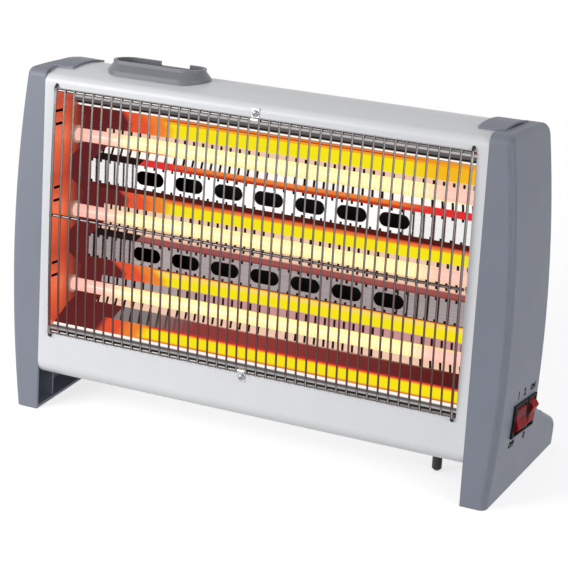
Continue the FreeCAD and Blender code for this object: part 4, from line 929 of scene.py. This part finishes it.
# %% White floor
FLOOR_REACH, FLOOR_DROP = 6.0, 0.0004
NEAR, AWAY, NEAR_FILL = 0.45, 1.1, 0.72
NEAR_GREY, NO_COLOUR, WHITE = (0.52, 0.52, 0.52), (0.0, 0.0, 0.0), (1, 1, 1, 1)
corners = [(x * FLOOR_REACH, y * FLOOR_REACH, 0) for x, y in ((-1, -1), (1, -1), (1, 1), (-1, 1))]
floor_mesh = bpy.data.meshes.new("floor")
floor_mesh.from_pydata(corners, [], [(0, 1, 2, 3)])
floor = placed("floor", floor_mesh)
floor.location.z = -FLOOR_DROP
floor_white, tree, shader = start_finish("floor_white")
path = tree.nodes.new("ShaderNodeLightPath").outputs
seen = either(tree, path["Is Camera Ray"], path["Is Glossy Ray"])
seen = either(tree, seen, path["Is Transmission Ray"])
distance = add(tree, "VectorMath", {0: add(tree, "TexCoord", {}, "Object")}, "Value", operation="LENGTH")
far = add(tree, "MapRange", {"Value": distance, "From Min": NEAR, "From Max": AWAY},
          interpolation_type="SMOOTHSTEP")
feed(tree, shader.inputs["Base Color"], blend_of(tree, far, [(0.0, NEAR_GREY), (1.0, NO_COLOUR)]))
shader.inputs["Roughness"].default_value = 0.9
shader.inputs["Specular IOR Level"].default_value = 0.0
shader.inputs["Emission Color"].default_value = WHITE
feed(tree, shader.inputs["Emission Strength"], both(tree, seen, ranged(tree, far, NEAR_FILL, 1.0)))
floor_mesh.materials.append(floor_white)
print("floor:", 2 * FLOOR_REACH, "m wide")

# %% White surroundings
DIFFUSE_LIGHT, MIRRORED_LIGHT = 0.38, 0.85
world = bpy.data.worlds.new("studio")
bpy.context.scene.world = world
world.use_nodes = True
tree = world.node_tree
path = tree.nodes.new("ShaderNodeLightPath").outputs
seen = either(tree, path["Is Camera Ray"], path["Is Transmission Ray"])
soft = ranged(tree, path["Is Glossy Ray"], DIFFUSE_LIGHT, MIRRORED_LIGHT)
background = tree.nodes["Background"]
feed(tree, background.inputs["Strength"], either(tree, seen, soft))
background.inputs["Color"].default_value = WHITE
print("world:", world.name)

# %% [markdown]
# ## Lamps
# A large soft lamp at the left front gives most of the light, as in the photograph, and a weaker one from the
# right keeps that panel from going dark. Hard lamps would throw the guard's shadow over the reflector.

# %% Soft lamps
def lamp(name, place, power, size):
    """A square soft lamp that looks at the heater."""
    data = bpy.data.lights.new(name, "AREA")
    data.energy, data.size = power, size
    light = placed(name, data)
    light.location = place
    light.rotation_euler = (looked_at - Vector(place)).to_track_quat("-Z", "Y").to_euler()
    return light


lamps = [lamp("key_lamp", (-1.1, -1.25, 0.75), power=20, size=1.0),
         lamp("side_lamp", (2.4, -0.8, 0.7), power=18, size=1.4)]
print("lamps:", [light.name for light in lamps])
